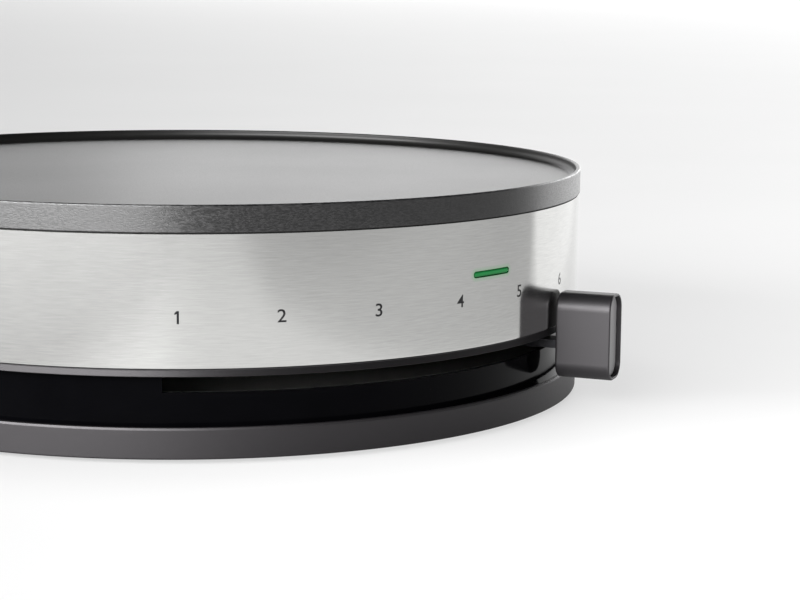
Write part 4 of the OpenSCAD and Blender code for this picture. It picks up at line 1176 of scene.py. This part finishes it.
# %% Set the lights
def softbox(name, azimuth, distance, low_edge, high_edge, width, strength):
    """A rectangular light, upright, that faces the object. strength is its brightness as seen."""
    data = bpy.data.lights.new(name, "AREA")
    data.shape, data.size, data.size_y = "RECTANGLE", width, high_edge - low_edge
    data.energy = strength * math.pi * width * (high_edge - low_edge)
    made = placed(name, data)
    made.location = on_ring(math.radians(azimuth), distance, (low_edge + high_edge) / 2)
    made.rotation_euler = (math.pi / 2, 0.0, math.radians(azimuth))
    made.visible_camera = False
    print(name, "at", azimuth, "degrees,", round(data.energy), "W")


softbox("key_left", -45.0, distance=1.7, low_edge=0.30, high_edge=0.98, width=2.6, strength=24.0)
screen_distance, screen_height = 9.0, 4.0
for name, azimuth, width, strength in (
        ("screen_back_left", 207.0, 8.4, 1.7), ("screen_back_right", 166.0, 5.2, 3.3),
        ("screen_right", 133.0, 5.6, 4.0)):
    softbox(name, azimuth, screen_distance, 0.0, screen_height, width, strength)

# %% [markdown]
# Between the screens the room stays dim, so the steel has something dark to show, while the camera
# sees a pale backdrop.

# %% Darken the room
world = bpy.data.worlds.new("studio")
bpy.context.scene.world = world
world.use_nodes = True
sky = world.node_tree
dim_room = sky.nodes["Background"]
dim_room.inputs["Color"].default_value = (0.06, 0.06, 0.062, 1.0)
backdrop = add_node(sky, "ShaderNodeBackground", {"Color": (0.9, 0.9, 0.9, 1.0)})
seen = add_node(sky, "ShaderNodeLightPath").outputs["Is Camera Ray"]
either = add_node(sky, "ShaderNodeMixShader", {0: seen, 1: dim_room.outputs[0], 2: backdrop.outputs[0]})
sky.links.new(either.outputs[0], sky.nodes["World Output"].inputs["Surface"])
print("room", [round(c, 3) for c in dim_room.inputs["Color"].default_value][:3])

# %% [markdown]
# ## The camera
# A long lens, a little above the plate and slightly turned to the right, so that the marks, the
# indicator and the knob fill the frame and the left side runs out of it.

# %% Aim the camera
yaw, pitch, roll = math.radians(5.47), math.radians(9.039), math.radians(0.559)
stand = Vector((0.0, -0.935637, 0.18323))
ahead = Vector((math.sin(yaw) * math.cos(pitch), math.cos(yaw) * math.cos(pitch), -math.sin(pitch)))
level_right = Vector((math.cos(yaw), -math.sin(yaw), 0.0))
level_up = level_right.cross(ahead)
right = level_right * math.cos(roll) + level_up * math.sin(roll)
up = level_up * math.cos(roll) - level_right * math.sin(roll)
lens = bpy.data.cameras.new("camera")
lens.sensor_fit, lens.sensor_width, lens.lens = "HORIZONTAL", 36.0, 98.02
lens.clip_start, lens.clip_end = 0.05, 100.0
camera = placed("camera", lens)
camera.matrix_world = Matrix.Translation(stand) @ Matrix((right, up, -ahead)).transposed().to_4x4()
bpy.context.scene.camera = camera
bpy.context.scene.view_settings.view_transform = "Standard"
print("camera", tuple(round(c, 3) for c in camera.location), "lens", round(lens.lens, 2), "mm")
